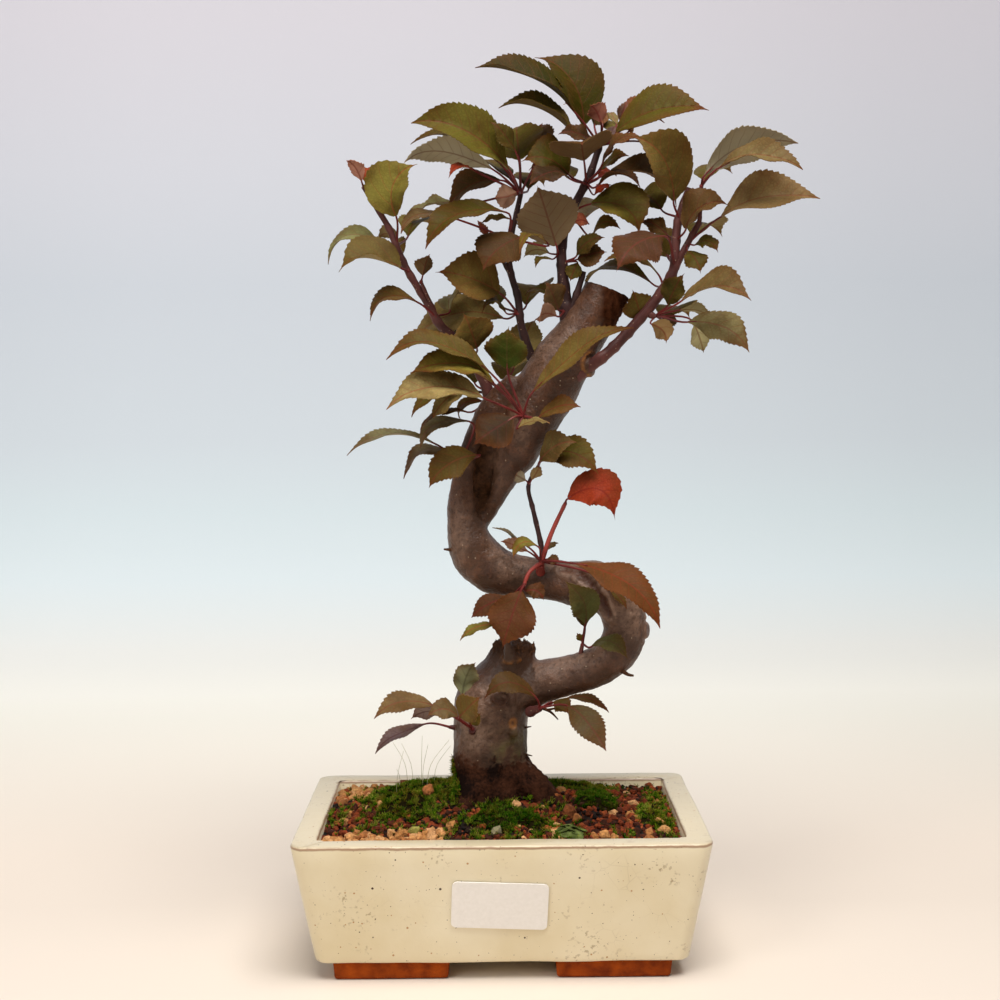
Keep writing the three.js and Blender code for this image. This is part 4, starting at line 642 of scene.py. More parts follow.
# The fused skin's fineness, and how often it is smoothed
VOXEL, SMOOTHINGS = 0.85, 4
use_modifier(trunk, "REMESH", mode="VOXEL", voxel_size=VOXEL * MM)
bpy.context.view_layer.objects.active = trunk
bpy.ops.object.mode_set(mode="EDIT")
bpy.ops.mesh.select_all(action="SELECT")
bpy.ops.mesh.bisect(plane_co=place(CUT_POINT), plane_no=CUT_WAY, clear_outer=True, use_fill=False)
bpy.ops.mesh.region_to_loop()
bpy.ops.mesh.edge_face_add()
bpy.ops.object.mode_set(mode="OBJECT")
use_modifier(trunk, "REMESH", mode="VOXEL", voxel_size=VOXEL * MM)
use_modifier(trunk, "SMOOTH", factor=0.5, iterations=SMOOTHINGS)

# Masks over the trunk's skin: each says where one feature lies and how strongly. They first
# raise or sink the skin.
points, normals = mesh_points(trunk)
px, py, pz = points.T


def near(centre, size):
    """1 at the centre, fading over the given size."""
    d2 = (((points - np.array(centre)) / size) ** 2).sum(1)
    return np.exp(-d2)


def bell(gap, width):
    """1 where the gap is nothing, fading over the given width."""
    return np.exp(-((gap / width) ** 2))


def gap_to(centre, stretch=(1, 1, 1)):
    """Distance of each point of the trunk from a centre."""
    return np.linalg.norm((points - np.array(centre)) * stretch, axis=1)


def ridge(a, b):
    """Distance of each point of the trunk from a straight stretch between two points."""
    a, b = np.array(a, float), np.array(b, float)
    t = np.clip((points - a) @ (b - a) / ((b - a) ** 2).sum(), 0, 1)
    return np.linalg.norm(points - a - t[:, None] * (b - a), axis=1)


# Unevenness of four sizes, the last drawn out along the wood
broad = grain(points, 15, 2)
lumpy = grain(points, 5, 3, 2.0)
fine = grain(points, 1.9, 3, 4.0)
stretched = grain(points * [1, 1, 0.28], 2.4, 3, 6.0)
# The damp foot, the torn stub and the saw cut
wet = np.clip((84 + 3.5 * lumpy + 3 * fine - 0.05 * px - pz) / 2.6, 0, 1)
soaked = np.clip((90 + 4 * broad + 3 * fine - pz) / 9, 0, 1)
stub = np.clip((pz - 124) / 5, 0, 1) * (np.hypot(px - 6, py - 2) < 13) * (pz < 140)
above_cut = (points - CUT_POINT) @ CUT_WAY
cut = np.clip((above_cut + 0.9) / 0.6, 0, 1) * (pz > 255)
# The cleft of dead wood, the crease inside the loop and the swirl over a healed knot
cleft = bell(ridge([-6.8, -2, 190], [-6.4, -2, 222]), 3.7)
crease_way = [[27, -8, 165], [33, -11, 164], [39, -14.5, 158], [43, -16.5, 151.5], [45, -17, 146]]
crease_gap = np.min([ridge(a, b) for a, b in zip(crease_way, crease_way[1:])], axis=0)
crease = bell(crease_gap, 2.1)
swirl_gap = gap_to([0, -16, 110.5], [0.8, 0.6, 1.25])
swirl = bell(swirl_gap, 5.5)
# The eye-shaped scar, the loop's knee, the collars of two lost branches, the torn end
EYE = np.array([5.2, -15.5, 99.4])
eye_gap = np.hypot((px - EYE[0]) / 1.7, (pz - EYE[2]) / 2.05) + 4 * (py > 0)
knee = near([61.5, -10, 138], [4.5, 6, 4.5])
knee_gap = gap_to([62, -10, 138])
collar_gap = np.abs(gap_to([4.6, -9, 127], [1, 0.8, 1.6]) - 4.4)
collar = bell(collar_gap, 0.8) * (pz > 121) * (pz < 127) * (py < -5)
collar = collar * np.clip(0.45 + fine, 0, 1)
branch_gap = np.abs(gap_to([40, -8, 250.5]) - 5.0)
branch_ring = bell(branch_gap, 0.65) * (pz > 240) * (px > 33) * (py < 2)
torn_end = np.clip((px - 42 + 1.5 * lumpy) / 3, 0, 1) * (pz > 262) * (pz < 292)

lift = 0.5 * broad + 0.30 * lumpy + 0.10 * fine
lift += wet * (0.55 * stretched + 0.25 * fine)
lift += stub * (1.1 * stretched + 0.8 * lumpy) + torn_end * (0.9 * stretched + 0.7 * fine)
lift += cleft * (-3.2 + 1.3 * stretched)
lift += crease * (-1.7 + 1.3 * fine) + 0.8 * bell(crease_gap - 3.4, 1.3)
lift += swirl * (0.75 * np.cos(swirl_gap * 2.4 + 0.6 * lumpy) - 0.2)
lift += 0.25 * bell(eye_gap - 1.15, 0.25) - 0.4 * bell(eye_gap, 0.7)
lift += knee * 0.8 * np.cos(knee_gap * 2.2)
lift += 0.7 * collar + 0.6 * branch_ring
lift *= 1 - 0.75 * cut
year_rings = np.cos(gap_to(CUT_POINT, [1, 1, 0.4]) * 2.6)
lift += cut * 0.12 * year_rings
move_points(trunk, points + normals * lift[:, None])

# The same masks for the bark's colours
paint(trunk, "wet", np.maximum(wet, 0.55 * soaked))
paint(trunk, "dead_wood", np.clip(np.maximum.reduce([cleft * 1.1, 0.7 * stub, cut, torn_end]), 0, 1))
scar = np.maximum.reduce([
    crease, 0.75 * swirl * (0.5 + 0.5 * np.cos(swirl_gap * 2.4)), 0.6 * knee, 0.6 * torn_end])
paint(trunk, "scar", np.clip(scar + 0.3 * fine * scar, 0, 1))
eye = bell(eye_gap - 0.7, 0.4)
burr = np.maximum.reduce([eye, collar, 0.8 * branch_ring * np.clip(0.6 + fine, 0, 1)])
paint(trunk, "orange_tissue", np.clip(burr * 1.1, 0, 1))
dark_rim = bell(eye_gap - 1.35, 0.2) + bell(eye_gap, 0.28)
old_stub = np.clip((pz - 114 + 3 * lumpy) / 4, 0, 1) * (px < 14 - 3 * lumpy) * (pz < 140)
# Painted shade: darker on downward faces, in the dips of the bark and on two shaded patches, at the foot
# and by the cleft; joined with the eye scar's real dark rims and darker bark round the old stub
shaded_side = 0.9 * near([10, -13, 98], [7, 9, 16]) + 0.6 * near([-8, -8, 186], [4.5, 8, 16])
hollow = 0.2 - 0.7 * lumpy - 0.6 * fine + dark_rim + 0.9 * old_stub + shaded_side - 0.5 * normals[:, 2]
paint(trunk, "hollow", np.clip(hollow, 0, 1))
olive = np.clip((99 - pz) / 8, 0, 1) * np.clip(0.5 + lumpy, 0, 1) * (1 - wet) * np.clip((px + 6) / 6, 0, 1)
paint(trunk, "algae", olive * 0.8)
lip = 0.8 * bell(crease_gap - 3.2, 0.9) + 0.7 * bell(knee_gap - 3.4, 0.8)
paint(trunk, "pale_lip", np.clip(lip * (0.7 + fine), 0, 1))
# Greyer skin in broad streaks that follow the limbs: partly the real grey bloom, partly painted highlight,
# lighter on upward faces and in spots at the bends that catch the light
grey_skin = 0.14 + 0.6 * grain(points * [1, 1, 0.45], 18, 2, 8.0) + 0.58 * normals[:, 2]
# spots of painted highlight at the bends that catch the light
for centre, size, strength in (
    ([55, -13, 145], [10, 9, 13], 0.9), ([34, -10, 125], [16, 7, 6], 0.1),
    ([-18, -6, 176], [6, 10, 18], 0.6), ([-15, -12, 98], [8, 10, 12], 0.9),
    ([9, -10, 222], [4, 7, 12], 0.5),
):
    grey_skin += strength * near(centre, size)
grey_skin -= 0.8 * old_stub + 0.4 * np.clip((pz - 222) / 20, 0, 1)
grey_skin = np.clip(grey_skin, 0, 0.85)
paint(trunk, "grey_skin", grey_skin * (1 - wet))

# Apple bark: a thin brown cork skin with a grey to mauve bloom where it is smooth and dry, lightened
# further as painted highlight on upward faces and bright bends, fine dark pores and a few pale lenticels;
# near black when wet; dead wood dark brown; young tissue orange at scars and collars; painted shade darkens
# downward faces, dips and shaded patches. Satin where it is smooth.
bark, tree, shader, spot = new_material("apple_bark")
masks = {name: add_node(tree, "Attribute", attribute_name=name).outputs["Fac"] for name in (
    "grey_skin", "hollow", "algae", "wet", "dead_wood", "scar", "orange_tissue", "pale_lip")}
mottle = add_node(tree, "TexNoise", {"Vector": spot, "Scale": per_metre(13), "Detail": 8.0})
flecks = add_node(tree, "TexNoise", {
    "Vector": spot, "Scale": per_metre(2.4), "Detail": 7.0, "Roughness": 0.62})
pores = add_node(tree, "TexNoise", {"Vector": spot, "Scale": per_metre(1.1), "Detail": 3.0})
brown = add_node(tree, "ValToRGB", {"Fac": mottle}, stops=[(0.3, "#2E180E"), (0.7, "#623D27")])
bloom_and_highlight_tone = add_node(tree, "ValToRGB", {"Fac": flecks}, stops=[(0.32, "#765B49"), (0.68, "#997B68")])
dark_flecks = add_node(tree, "MapRange", {
    "Value": flecks, "From Min": 0.44, "From Max": 0.34, "To Max": 0.3})
pinholes = add_node(tree, "MapRange", {"Value": pores, "From Min": 0.42, "From Max": 0.34, "To Max": 0.5})
rusty = add_node(tree, "MapRange", {"Value": flecks, "From Min": 0.55, "From Max": 0.68, "To Max": 0.45})
dots = add_node(tree, "TexVoronoi", {"Vector": spot, "Scale": per_metre(2.6)})
chance = add_node(tree, "SeparateColor", {"Color": dots.outputs["Color"]})
chosen = add_node(tree, "Math", {0: chance, 1: 0.72}, operation="GREATER_THAN")
small = add_node(tree, "Math", {0: dots, 1: 0.1}, operation="LESS_THAN")
dot = add_node(tree, "Math", {0: small, 1: chosen}, operation="MULTIPLY")
damp = add_node(tree, "Math", {0: pores, 1: 0.4, 2: mottle}, operation="MULTIPLY_ADD")
wet_tone = add_node(tree, "ValToRGB", {"Fac": damp}, stops=[(0.6, "#150B08"), (0.86, "#44281B")])
wood_tone = add_node(tree, "ValToRGB", {"Fac": flecks}, stops=[(0.3, "#1A0F09"), (0.7, "#563824")])
colour = brown
# Layers in order; the grey bloom layer also carries painted highlight, and the dark brown #432B1B layer
# painted shade
for cover, tone in (
    (rusty, "#74492C"), (masks["grey_skin"], bloom_and_highlight_tone), (dark_flecks, "#2C1A12"), (pinholes, "#24160F"),
    (masks["hollow"], "#432B1B"), (masks["algae"], "#57502A"), (dot, "#A8937C"),
    (masks["wet"], wet_tone), (masks["dead_wood"], wood_tone), (masks["scar"], "#44200F"),
    (masks["orange_tissue"], "#96602A"), (masks["pale_lip"], "#8A6E5C"),
):
    colour = add_node(tree, "Mix", {FACTOR: cover, FIRST: colour, SECOND: tone}, data_type="RGBA")
shine = add_node(tree, "MapRange", {
    "Value": mottle, "From Min": 0.3, "From Max": 0.7, "To Min": 0.55, "To Max": 0.33})
matt = add_node(tree, "Math", {0: masks["wet"], 1: masks["dead_wood"]}, operation="MAXIMUM")
dulled = add_node(tree, "Mix", {0: matt, 2: shine, 3: 0.85})
gloss = add_node(tree, "Mix", {0: matt, 2: 0.38, 3: 0.04})
height = add_node(tree, "Math", {0: flecks, 1: 1.3, 2: pores}, operation="MULTIPLY_ADD")
relief = add_node(tree, "Bump", {"Height": height, "Strength": 0.7, "Distance": 0.6 * MM})
feed(tree, shader, {
    "Base Color": colour, "Roughness": dulled, "Specular IOR Level": gloss, "Normal": relief})
trunk.data.materials.append(bark)
smooth(trunk, 180)
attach(trunk, "root")
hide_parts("trunk")

# Torn fibres of the stub and small dead twigs, thin enough to be pieces of their own
dead_wood, tree, shader, spot = new_material("weathered_dead_wood")
fibres = add_node(tree, "TexNoise", {"Vector": spot, "Scale": per_metre(1.2), "Detail": 5.0})
tone = add_node(tree, "ValToRGB", {"Fac": fibres}, stops=[(0.3, "#2A190F"), (0.7, "#684630")])
feed(tree, shader, {"Base Color": tone, "Roughness": 0.85, "Specular IOR Level": 0.1})
# Lines of x, y, z and radius
DEAD_TWIGS = [
    [[16, -8, 105, 0.9], [21, -10, 103.4, 0.6], [24.5, -11, 100, 0.25]],
    [[20, -10, 104, 0.6], [23.5, -12, 105, 0.4], [26, -12, 104, 0.2]],
    [[51, -12.5, 121.5, 1.2], [54, -13.5, 119.6, 0.8], [56.4, -14, 119.2, 0.5]],
    [[12.6, -3, 126, 1.3], [14, -3.6, 130, 0.7], [14.6, -4, 132.5, 0.15]],
    [[-19, -3, 172, 1.1], [-23.6, -3.4, 172.4, 0.4]],
    [[8, -4, 84, 0.8], [13.6, -5, 83, 0.2]], [[8, -5, 95, 0.8], [13.2, -6, 96, 0.2]],
]
shards = np.random.default_rng(3)
for turn in np.linspace(0, 2 * math.pi, 22, endpoint=False):
    out_way = np.array([math.cos(turn), math.sin(turn), 0]) * shards.uniform(4.5, 8.2)
    foot = np.array([6.3, 1.6, 127.5]) + out_way
    tip = foot + out_way * shards.uniform(-0.1, 0.2) + [0, 0, shards.uniform(3, 5.6)]
    DEAD_TWIGS.append([[*foot, shards.uniform(0.9, 1.6)], [*((foot + tip) / 2), 0.8], [*tip, 0.12]])
points, faces = [], []
for line in DEAD_TWIGS:
    tube(smooth_line(line, 3), 6, points, faces)
splinters = new_mesh("dead_twigs", np.array(points), faces, [dead_wood])
smooth(splinters, 40)
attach(splinters, "root")

# Moss
# Cushions of live moss laid on the soil, bright green at the tips and nearly black between the tufts with
# painted shade, each tuft a whorl of slim leaves. It also creeps up the wet bark at the left.

# Name, middle x and y, half sizes along x and y, height, seed of its outline
MOSS_CUSHIONS = [
    ("moss_left", -38, -4, 19, 20, 5, 0.4), ("moss_front", 2, -29, 15, 8, 4.5, 2.1),
    ("moss_right", 41, 0, 9, 13, 3.6, 3.3), ("moss_right_rim", 64, -12, 6, 15, 3.4, 4.2),
    ("moss_back", 30, 26, 20, 10, 4, 5.1), ("moss_back_left", -20, 33, 20, 8, 4, 1.2),
]
MOSS_TONES = np.array([srgb(c) for c in (
    "#5E8A18", "#7C921E", "#929A30", "#46720F", "#9EA03C", "#6C5E20", "#38600C")])
# Tufts to a square millimetre, leaves in a tuft, and the share of bark points with a tuft
TUFTS_PER_AREA, LEAVES_IN_TUFT, MOSS_ON_BARK = 1.9, 5, 0.42
# A cushion's body: points round each ring, and how far out each ring lies
RING_POINTS, RINGS = 64, (1.0, 0.97, 0.9, 0.8, 0.66, 0.5, 0.33, 0.16)

# Moss: thin translucent leaves, so soft and bright where the light comes through
moss_finish, tree, shader, spot = new_material("live_moss")
green = add_node(tree, "Attribute", attribute_name="shade")
patches = add_node(tree, "TexNoise", {"Vector": spot, "Scale": per_metre(7), "Detail": 4.0})
feed(tree, shader, {
    "Base Color": mottled(tree, green, patches, 0.7, 1.2), "Roughness": 0.7,
    "Subsurface Weight": 0.2, "Subsurface Radius": (0.6, 1.0, 0.3), "Subsurface Scale": 0.6 * MM,
    "Specular IOR Level": 0.0})


def moss_edge(cushion, a):
    """Middle and reach of a cushion in each direction a."""
    _, x, y, rx, ry, _, seed = cushion
    reach = 1 + 0.16 * np.sin(3 * a + seed) + 0.1 * np.sin(5 * a + 2 * seed)
    return x, y, rx * reach, ry * reach


def moss_top(cushion, x, y):
    """Height of a cushion over the soil, and how far out from its middle, from 0 to 1."""
    a = np.arctan2((y - cushion[2]) / cushion[4], (x - cushion[1]) / cushion[3])
    cx, cy, rx, ry = moss_edge(cushion, a)
    k = np.hypot((x - cx) / rx, (y - cy) / ry)
    dome = np.clip(1 - k ** 2.4, 0, 1) ** 0.6
    flat = np.stack([x, y, np.zeros_like(x)], -1).reshape(-1, 3)
    lumps = grain(flat, 4.2, 2, cushion[6]).reshape(np.shape(x))
    return cushion[5] * dome * (0.82 + 0.34 * lumps), k


def rows_unit(a):
    """The same directions, one in each row, with a length of 1."""
    return a / np.maximum(np.linalg.norm(a, axis=-1, keepdims=True), 1e-9)


def tufts(roots, ways, lengths, tones):
    """Whorls of slim pointed leaves; each leaf is a thin closed spike, its foot darkened as painted shade
    among the tufts.
    """
    n = len(roots)
    ways = rows_unit(ways)
    side = rows_unit(np.cross(ways, np.array([0.3, 0.5, 0.81])))
    other = np.cross(ways, side)
    turn = random.uniform(0, 6.28, (n, 1)) + np.arange(LEAVES_IN_TUFT) * 2.4
    splay = random.uniform(0.25, 1.15, (n, LEAVES_IN_TUFT))[..., None]
    out = np.cos(turn)[..., None] * side[:, None] + np.sin(turn)[..., None] * other[:, None]
    leaf = rows_unit(ways[:, None] + out * splay)
    girth = rows_unit(np.cross(leaf, ways[:, None] + 0.01))
    third = np.cross(leaf, girth)
    length = lengths[:, None, None] * random.uniform(0.7, 1.2, (n, LEAVES_IN_TUFT, 1))
    root = roots[:, None]
    corners = np.stack([
        root + girth * 0.26, root - girth * 0.16 + third * 0.2, root - girth * 0.16 - third * 0.2,
        root + leaf * length], 2)
    shade = np.repeat(tones[:, None, None], LEAVES_IN_TUFT, 1)
    shade = np.repeat(shade, 4, 2).copy()
    # painted shade: the foot of each leaf is darkened to near black
    shade[:, :, :3, :3] *= 0.16
    faces = np.array([(0, 1, 3), (1, 2, 3), (2, 0, 3), (2, 1, 0)])
    starts = np.arange(n * LEAVES_IN_TUFT) * 4
    faces = (faces[None] + starts[:, None, None]).reshape(-1, 3)
    return corners.reshape(-1, 3), faces, shade.reshape(-1, 4)


for cushion in MOSS_CUSHIONS:
    name, cx, cy, rx, ry, high, seed = cushion
    turns = np.arange(RING_POINTS) * 2 * math.pi / RING_POINTS
    _, _, edge_x, edge_y = moss_edge(cushion, turns)
    points, faces = [], []
    for k in RINGS:
        x, y = cx + k * edge_x * np.cos(turns), cy + k * edge_y * np.sin(turns)
        top, _ = moss_top(cushion, x, y)
        below = 2.0 if k == 1.0 else 0.7
        points.append(np.stack([x, y, soil_height(x, y) + top - below], 1))
    innermost = (len(RINGS) - 1) * RING_POINTS
    for start in range(0, innermost, RING_POINTS):
        for j in range(RING_POINTS):
            a, b = start + j, start + (j + 1) % RING_POINTS
            faces.append((a, b, b + RING_POINTS, a + RING_POINTS))
    faces.append(tuple(innermost + j for j in range(RING_POINTS)))
    faces.append(tuple(reversed(range(RING_POINTS))))
    body = np.concatenate(points)
    # the body under the tufts is near black, painted shade in the gaps between them
    body_shade = np.tile(srgb("#1E190B"), (len(body), 1))
    count = int(TUFTS_PER_AREA * math.pi * rx * ry)
    a, k = random.uniform(0, 6.283, count), np.sqrt(random.uniform(0, 1, count))
    _, _, ex, ey = moss_edge(cushion, a)
    x, y = cx + k * ex * np.cos(a), cy + k * ey * np.sin(a)
    top, _ = moss_top(cushion, x, y)
    roots = np.stack([x, y, soil_height(x, y) + top - 0.8], 1)
    lean = np.stack([np.cos(a) * k * 0.7, np.sin(a) * k * 0.7, np.ones(count)], 1)
    lean += random.normal(0, 0.18, (count, 3))
    # worn thin in places, so that the dark shows through
    thick = grain(roots, 3.4, 3, 21.0 + seed) > -0.2
    roots, lean = roots[thick], lean[thick]
    if name == "moss_left":
        bark_points, bark_normals = mesh_points(trunk)
        bx, _, bz = bark_points.T
        reach = 62 + 22 * np.clip((-bx - 14) / 7, 0, 1)
        good = (bx < -12) & (bz < reach) & (bz > 57) & (bark_normals[:, 0] < 0.1)
        good &= grain(bark_points, 5, 2, 9.0) > -0.15
        chosen = np.flatnonzero(good)
        chosen = chosen[random.random(len(chosen)) < MOSS_ON_BARK]
        roots = np.concatenate([roots, bark_points[chosen] - bark_normals[chosen] * 0.1])
        lean = np.concatenate([lean, bark_normals[chosen] + [0, 0, 0.35]])
    size = len(roots)
    tones = MOSS_TONES[random.integers(len(MOSS_TONES), size=size)].copy()
    tones[:, :3] *= random.uniform(0.7, 1.3, (size, 1))
    if name in ("moss_front", "moss_right"):
        # painted shade: deeper, darker green on the cushions in front of the trunk and under the loop, in
        # the crown's shade
        tones[:, :3] *= (0.36, 0.5, 0.42)
    # and browner in patches that dried out
    dry = grain(roots, 8, 2, 31.0 + seed) > 0.12
    tones[dry, :3] *= (1.0, 0.68, 0.8)
    spikes, spike_faces, spike_shades = tufts(roots, lean, random.uniform(1.0, 2.4, size), tones)
    points = np.concatenate([body, spikes])
    faces += (spike_faces + len(body)).tolist()
    piece = new_mesh("living_" + name, points, faces, [moss_finish])
    paint(piece, "shade", np.concatenate([body_shade, spike_shades]))
    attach(piece, "root")
    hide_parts(name)

# Loose moss between the grains: middle x, y, half sizes and how dense
LOOSE_MOSS = [
    (-36, -4, 26, 28, 1.3), (-66, -14, 7, 9, 2.6), (2, -30, 22, 18, 1.2), (69, -4, 5, 32, 1.4),
    (41, 3, 11, 12, 0.45), (30, 26, 22, 14, 1.0), (-22, 32, 28, 14, 1.0),
    (-40, 30, 26, 10, 0.6), (20, -37, 14, 9, 1.3), (50, -37, 7, 4, 0.5), (70, -36, 5, 6, 0.8),
]
TRIES = 24000
x = random.uniform(-WALL_INSIDE_X + 1, WALL_INSIDE_X - 1, TRIES)
y = random.uniform(-WALL_INSIDE_Y + 1, WALL_INSIDE_Y - 1, TRIES)
chance = np.zeros(TRIES)
for cx, cy, rx, ry, dense in LOOSE_MOSS:
    chance = np.maximum(chance, dense * np.exp(-((x - cx) / rx) ** 4 - ((y - cy) / ry) ** 4))
flat = np.stack([x, y, np.zeros(TRIES)], 1)
patchy = np.clip(grain(flat, 6, 3, 12.0) * 1.6 + 0.25, 0, 1)
covered = np.zeros(TRIES, bool)
for cushion in MOSS_CUSHIONS:
    covered |= moss_top(cushion, x, y)[1] < 0.92
kept = (random.random(len(x)) < chance * patchy * 0.75) & ~covered & (trunk_reach(x, y) > -2)
x, y = x[kept], y[kept]
roots = np.stack([x, y, soil_height(x, y) + random.uniform(-0.4, 0.8, len(x))], 1)
lean = np.array([0, 0, 1.0]) + random.normal(0, 0.35, (len(x), 3))
tones = MOSS_TONES[random.integers(len(MOSS_TONES), size=len(x))].copy()
tones[:, :3] *= random.uniform(0.6, 1.2, (len(x), 1))
points, faces, shades = tufts(roots, lean, random.uniform(1.1, 2.6, len(x)), tones)
loose = new_mesh("loose_moss", points, faces, [moss_finish])
paint(loose, "shade", shades)

# Hair-thin grass seedlings over the left cushion
points, faces = [], []
BLADES_OF_GRASS = 8
for _ in range(BLADES_OF_GRASS):
    x, y = random.uniform(-47, -26), random.uniform(-12, 16)
    reach, lean = random.uniform(9, 25), random.normal(0, 6, 2)
    foot = soil_height(x, y) + 2
    line = [[x, y, foot, 0.1], [x + lean[0] * 0.2, y + lean[1] * 0.2, foot + reach * 0.5, 0.08],
            [x + lean[0], y + lean[1], foot + reach, 0.06]]
    tube(smooth_line(line, 4), 4, points, faces)
grass = new_mesh("grass_seedlings", np.array(points), faces, [moss_finish])
paint(grass, "shade", np.tile(srgb("#B9B48C"), (len(points), 1)))

# A liverwort at the front edge: overlapping flat lobes pressed to the soil
lobes = []
LOBES = 11
for k in range(LOBES):
    turn, out_by = k * 2.4, 0.6 + 0.48 * k
    x, y = 28 + out_by * math.cos(turn) * 1.1, -38 + out_by * math.sin(turn) * 0.8
    bpy.ops.object.select_all(action="DESELECT")
    bpy.ops.mesh.primitive_uv_sphere_add(
        segments=14, ring_count=8, radius=MM, location=place([x, y, soil_height(x, y) + 2.4 - 0.1 * k])
    )
    lobe = bpy.context.object
    lobe.scale = (3.0, 2.7, 0.35)
    lobe.rotation_euler = (-0.35 * math.sin(turn), 0.35 * math.cos(turn), 0)
    apply_all(lobe)
    lobes.append(lobe)
liverwort = lobes.pop()
join(liverwort, lobes)
liverwort.name = "liverwort"
points, normals = mesh_points(liverwort)
points[:, 2] += 0.45 * grain(points, 1.7, 2, 4.0)
move_points(liverwort, points)
liverwort.data.materials.append(moss_finish)
edge = np.clip(0.5 + grain(points, 2.2, 2, 14.0), 0, 1)[:, None]
paint(liverwort, "shade", np.array(srgb("#6E7A42")) * edge + np.array(srgb("#363E1C")) * (1 - edge))
smooth(liverwort, 60)
for piece in (loose, grass, liverwort):
    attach(piece, "root")

# Leafy shoots
# Young twigs with clusters of apple leaves on red stalks. Each shoot grew from a bud in
# the bark, so its twig, stalks and leaves are one piece, sunk into the trunk at its root.

# A leaf is base x, y, z, tip x, y, z, width, bow, turn, fold and tint. Bow lifts the middle
# of the midrib; turn is the way the upper face looks: 0 to the front, 90 up, 180 to the
# back; fold raises both halves about the midrib. Twigs are lines of x, y, z and radius.

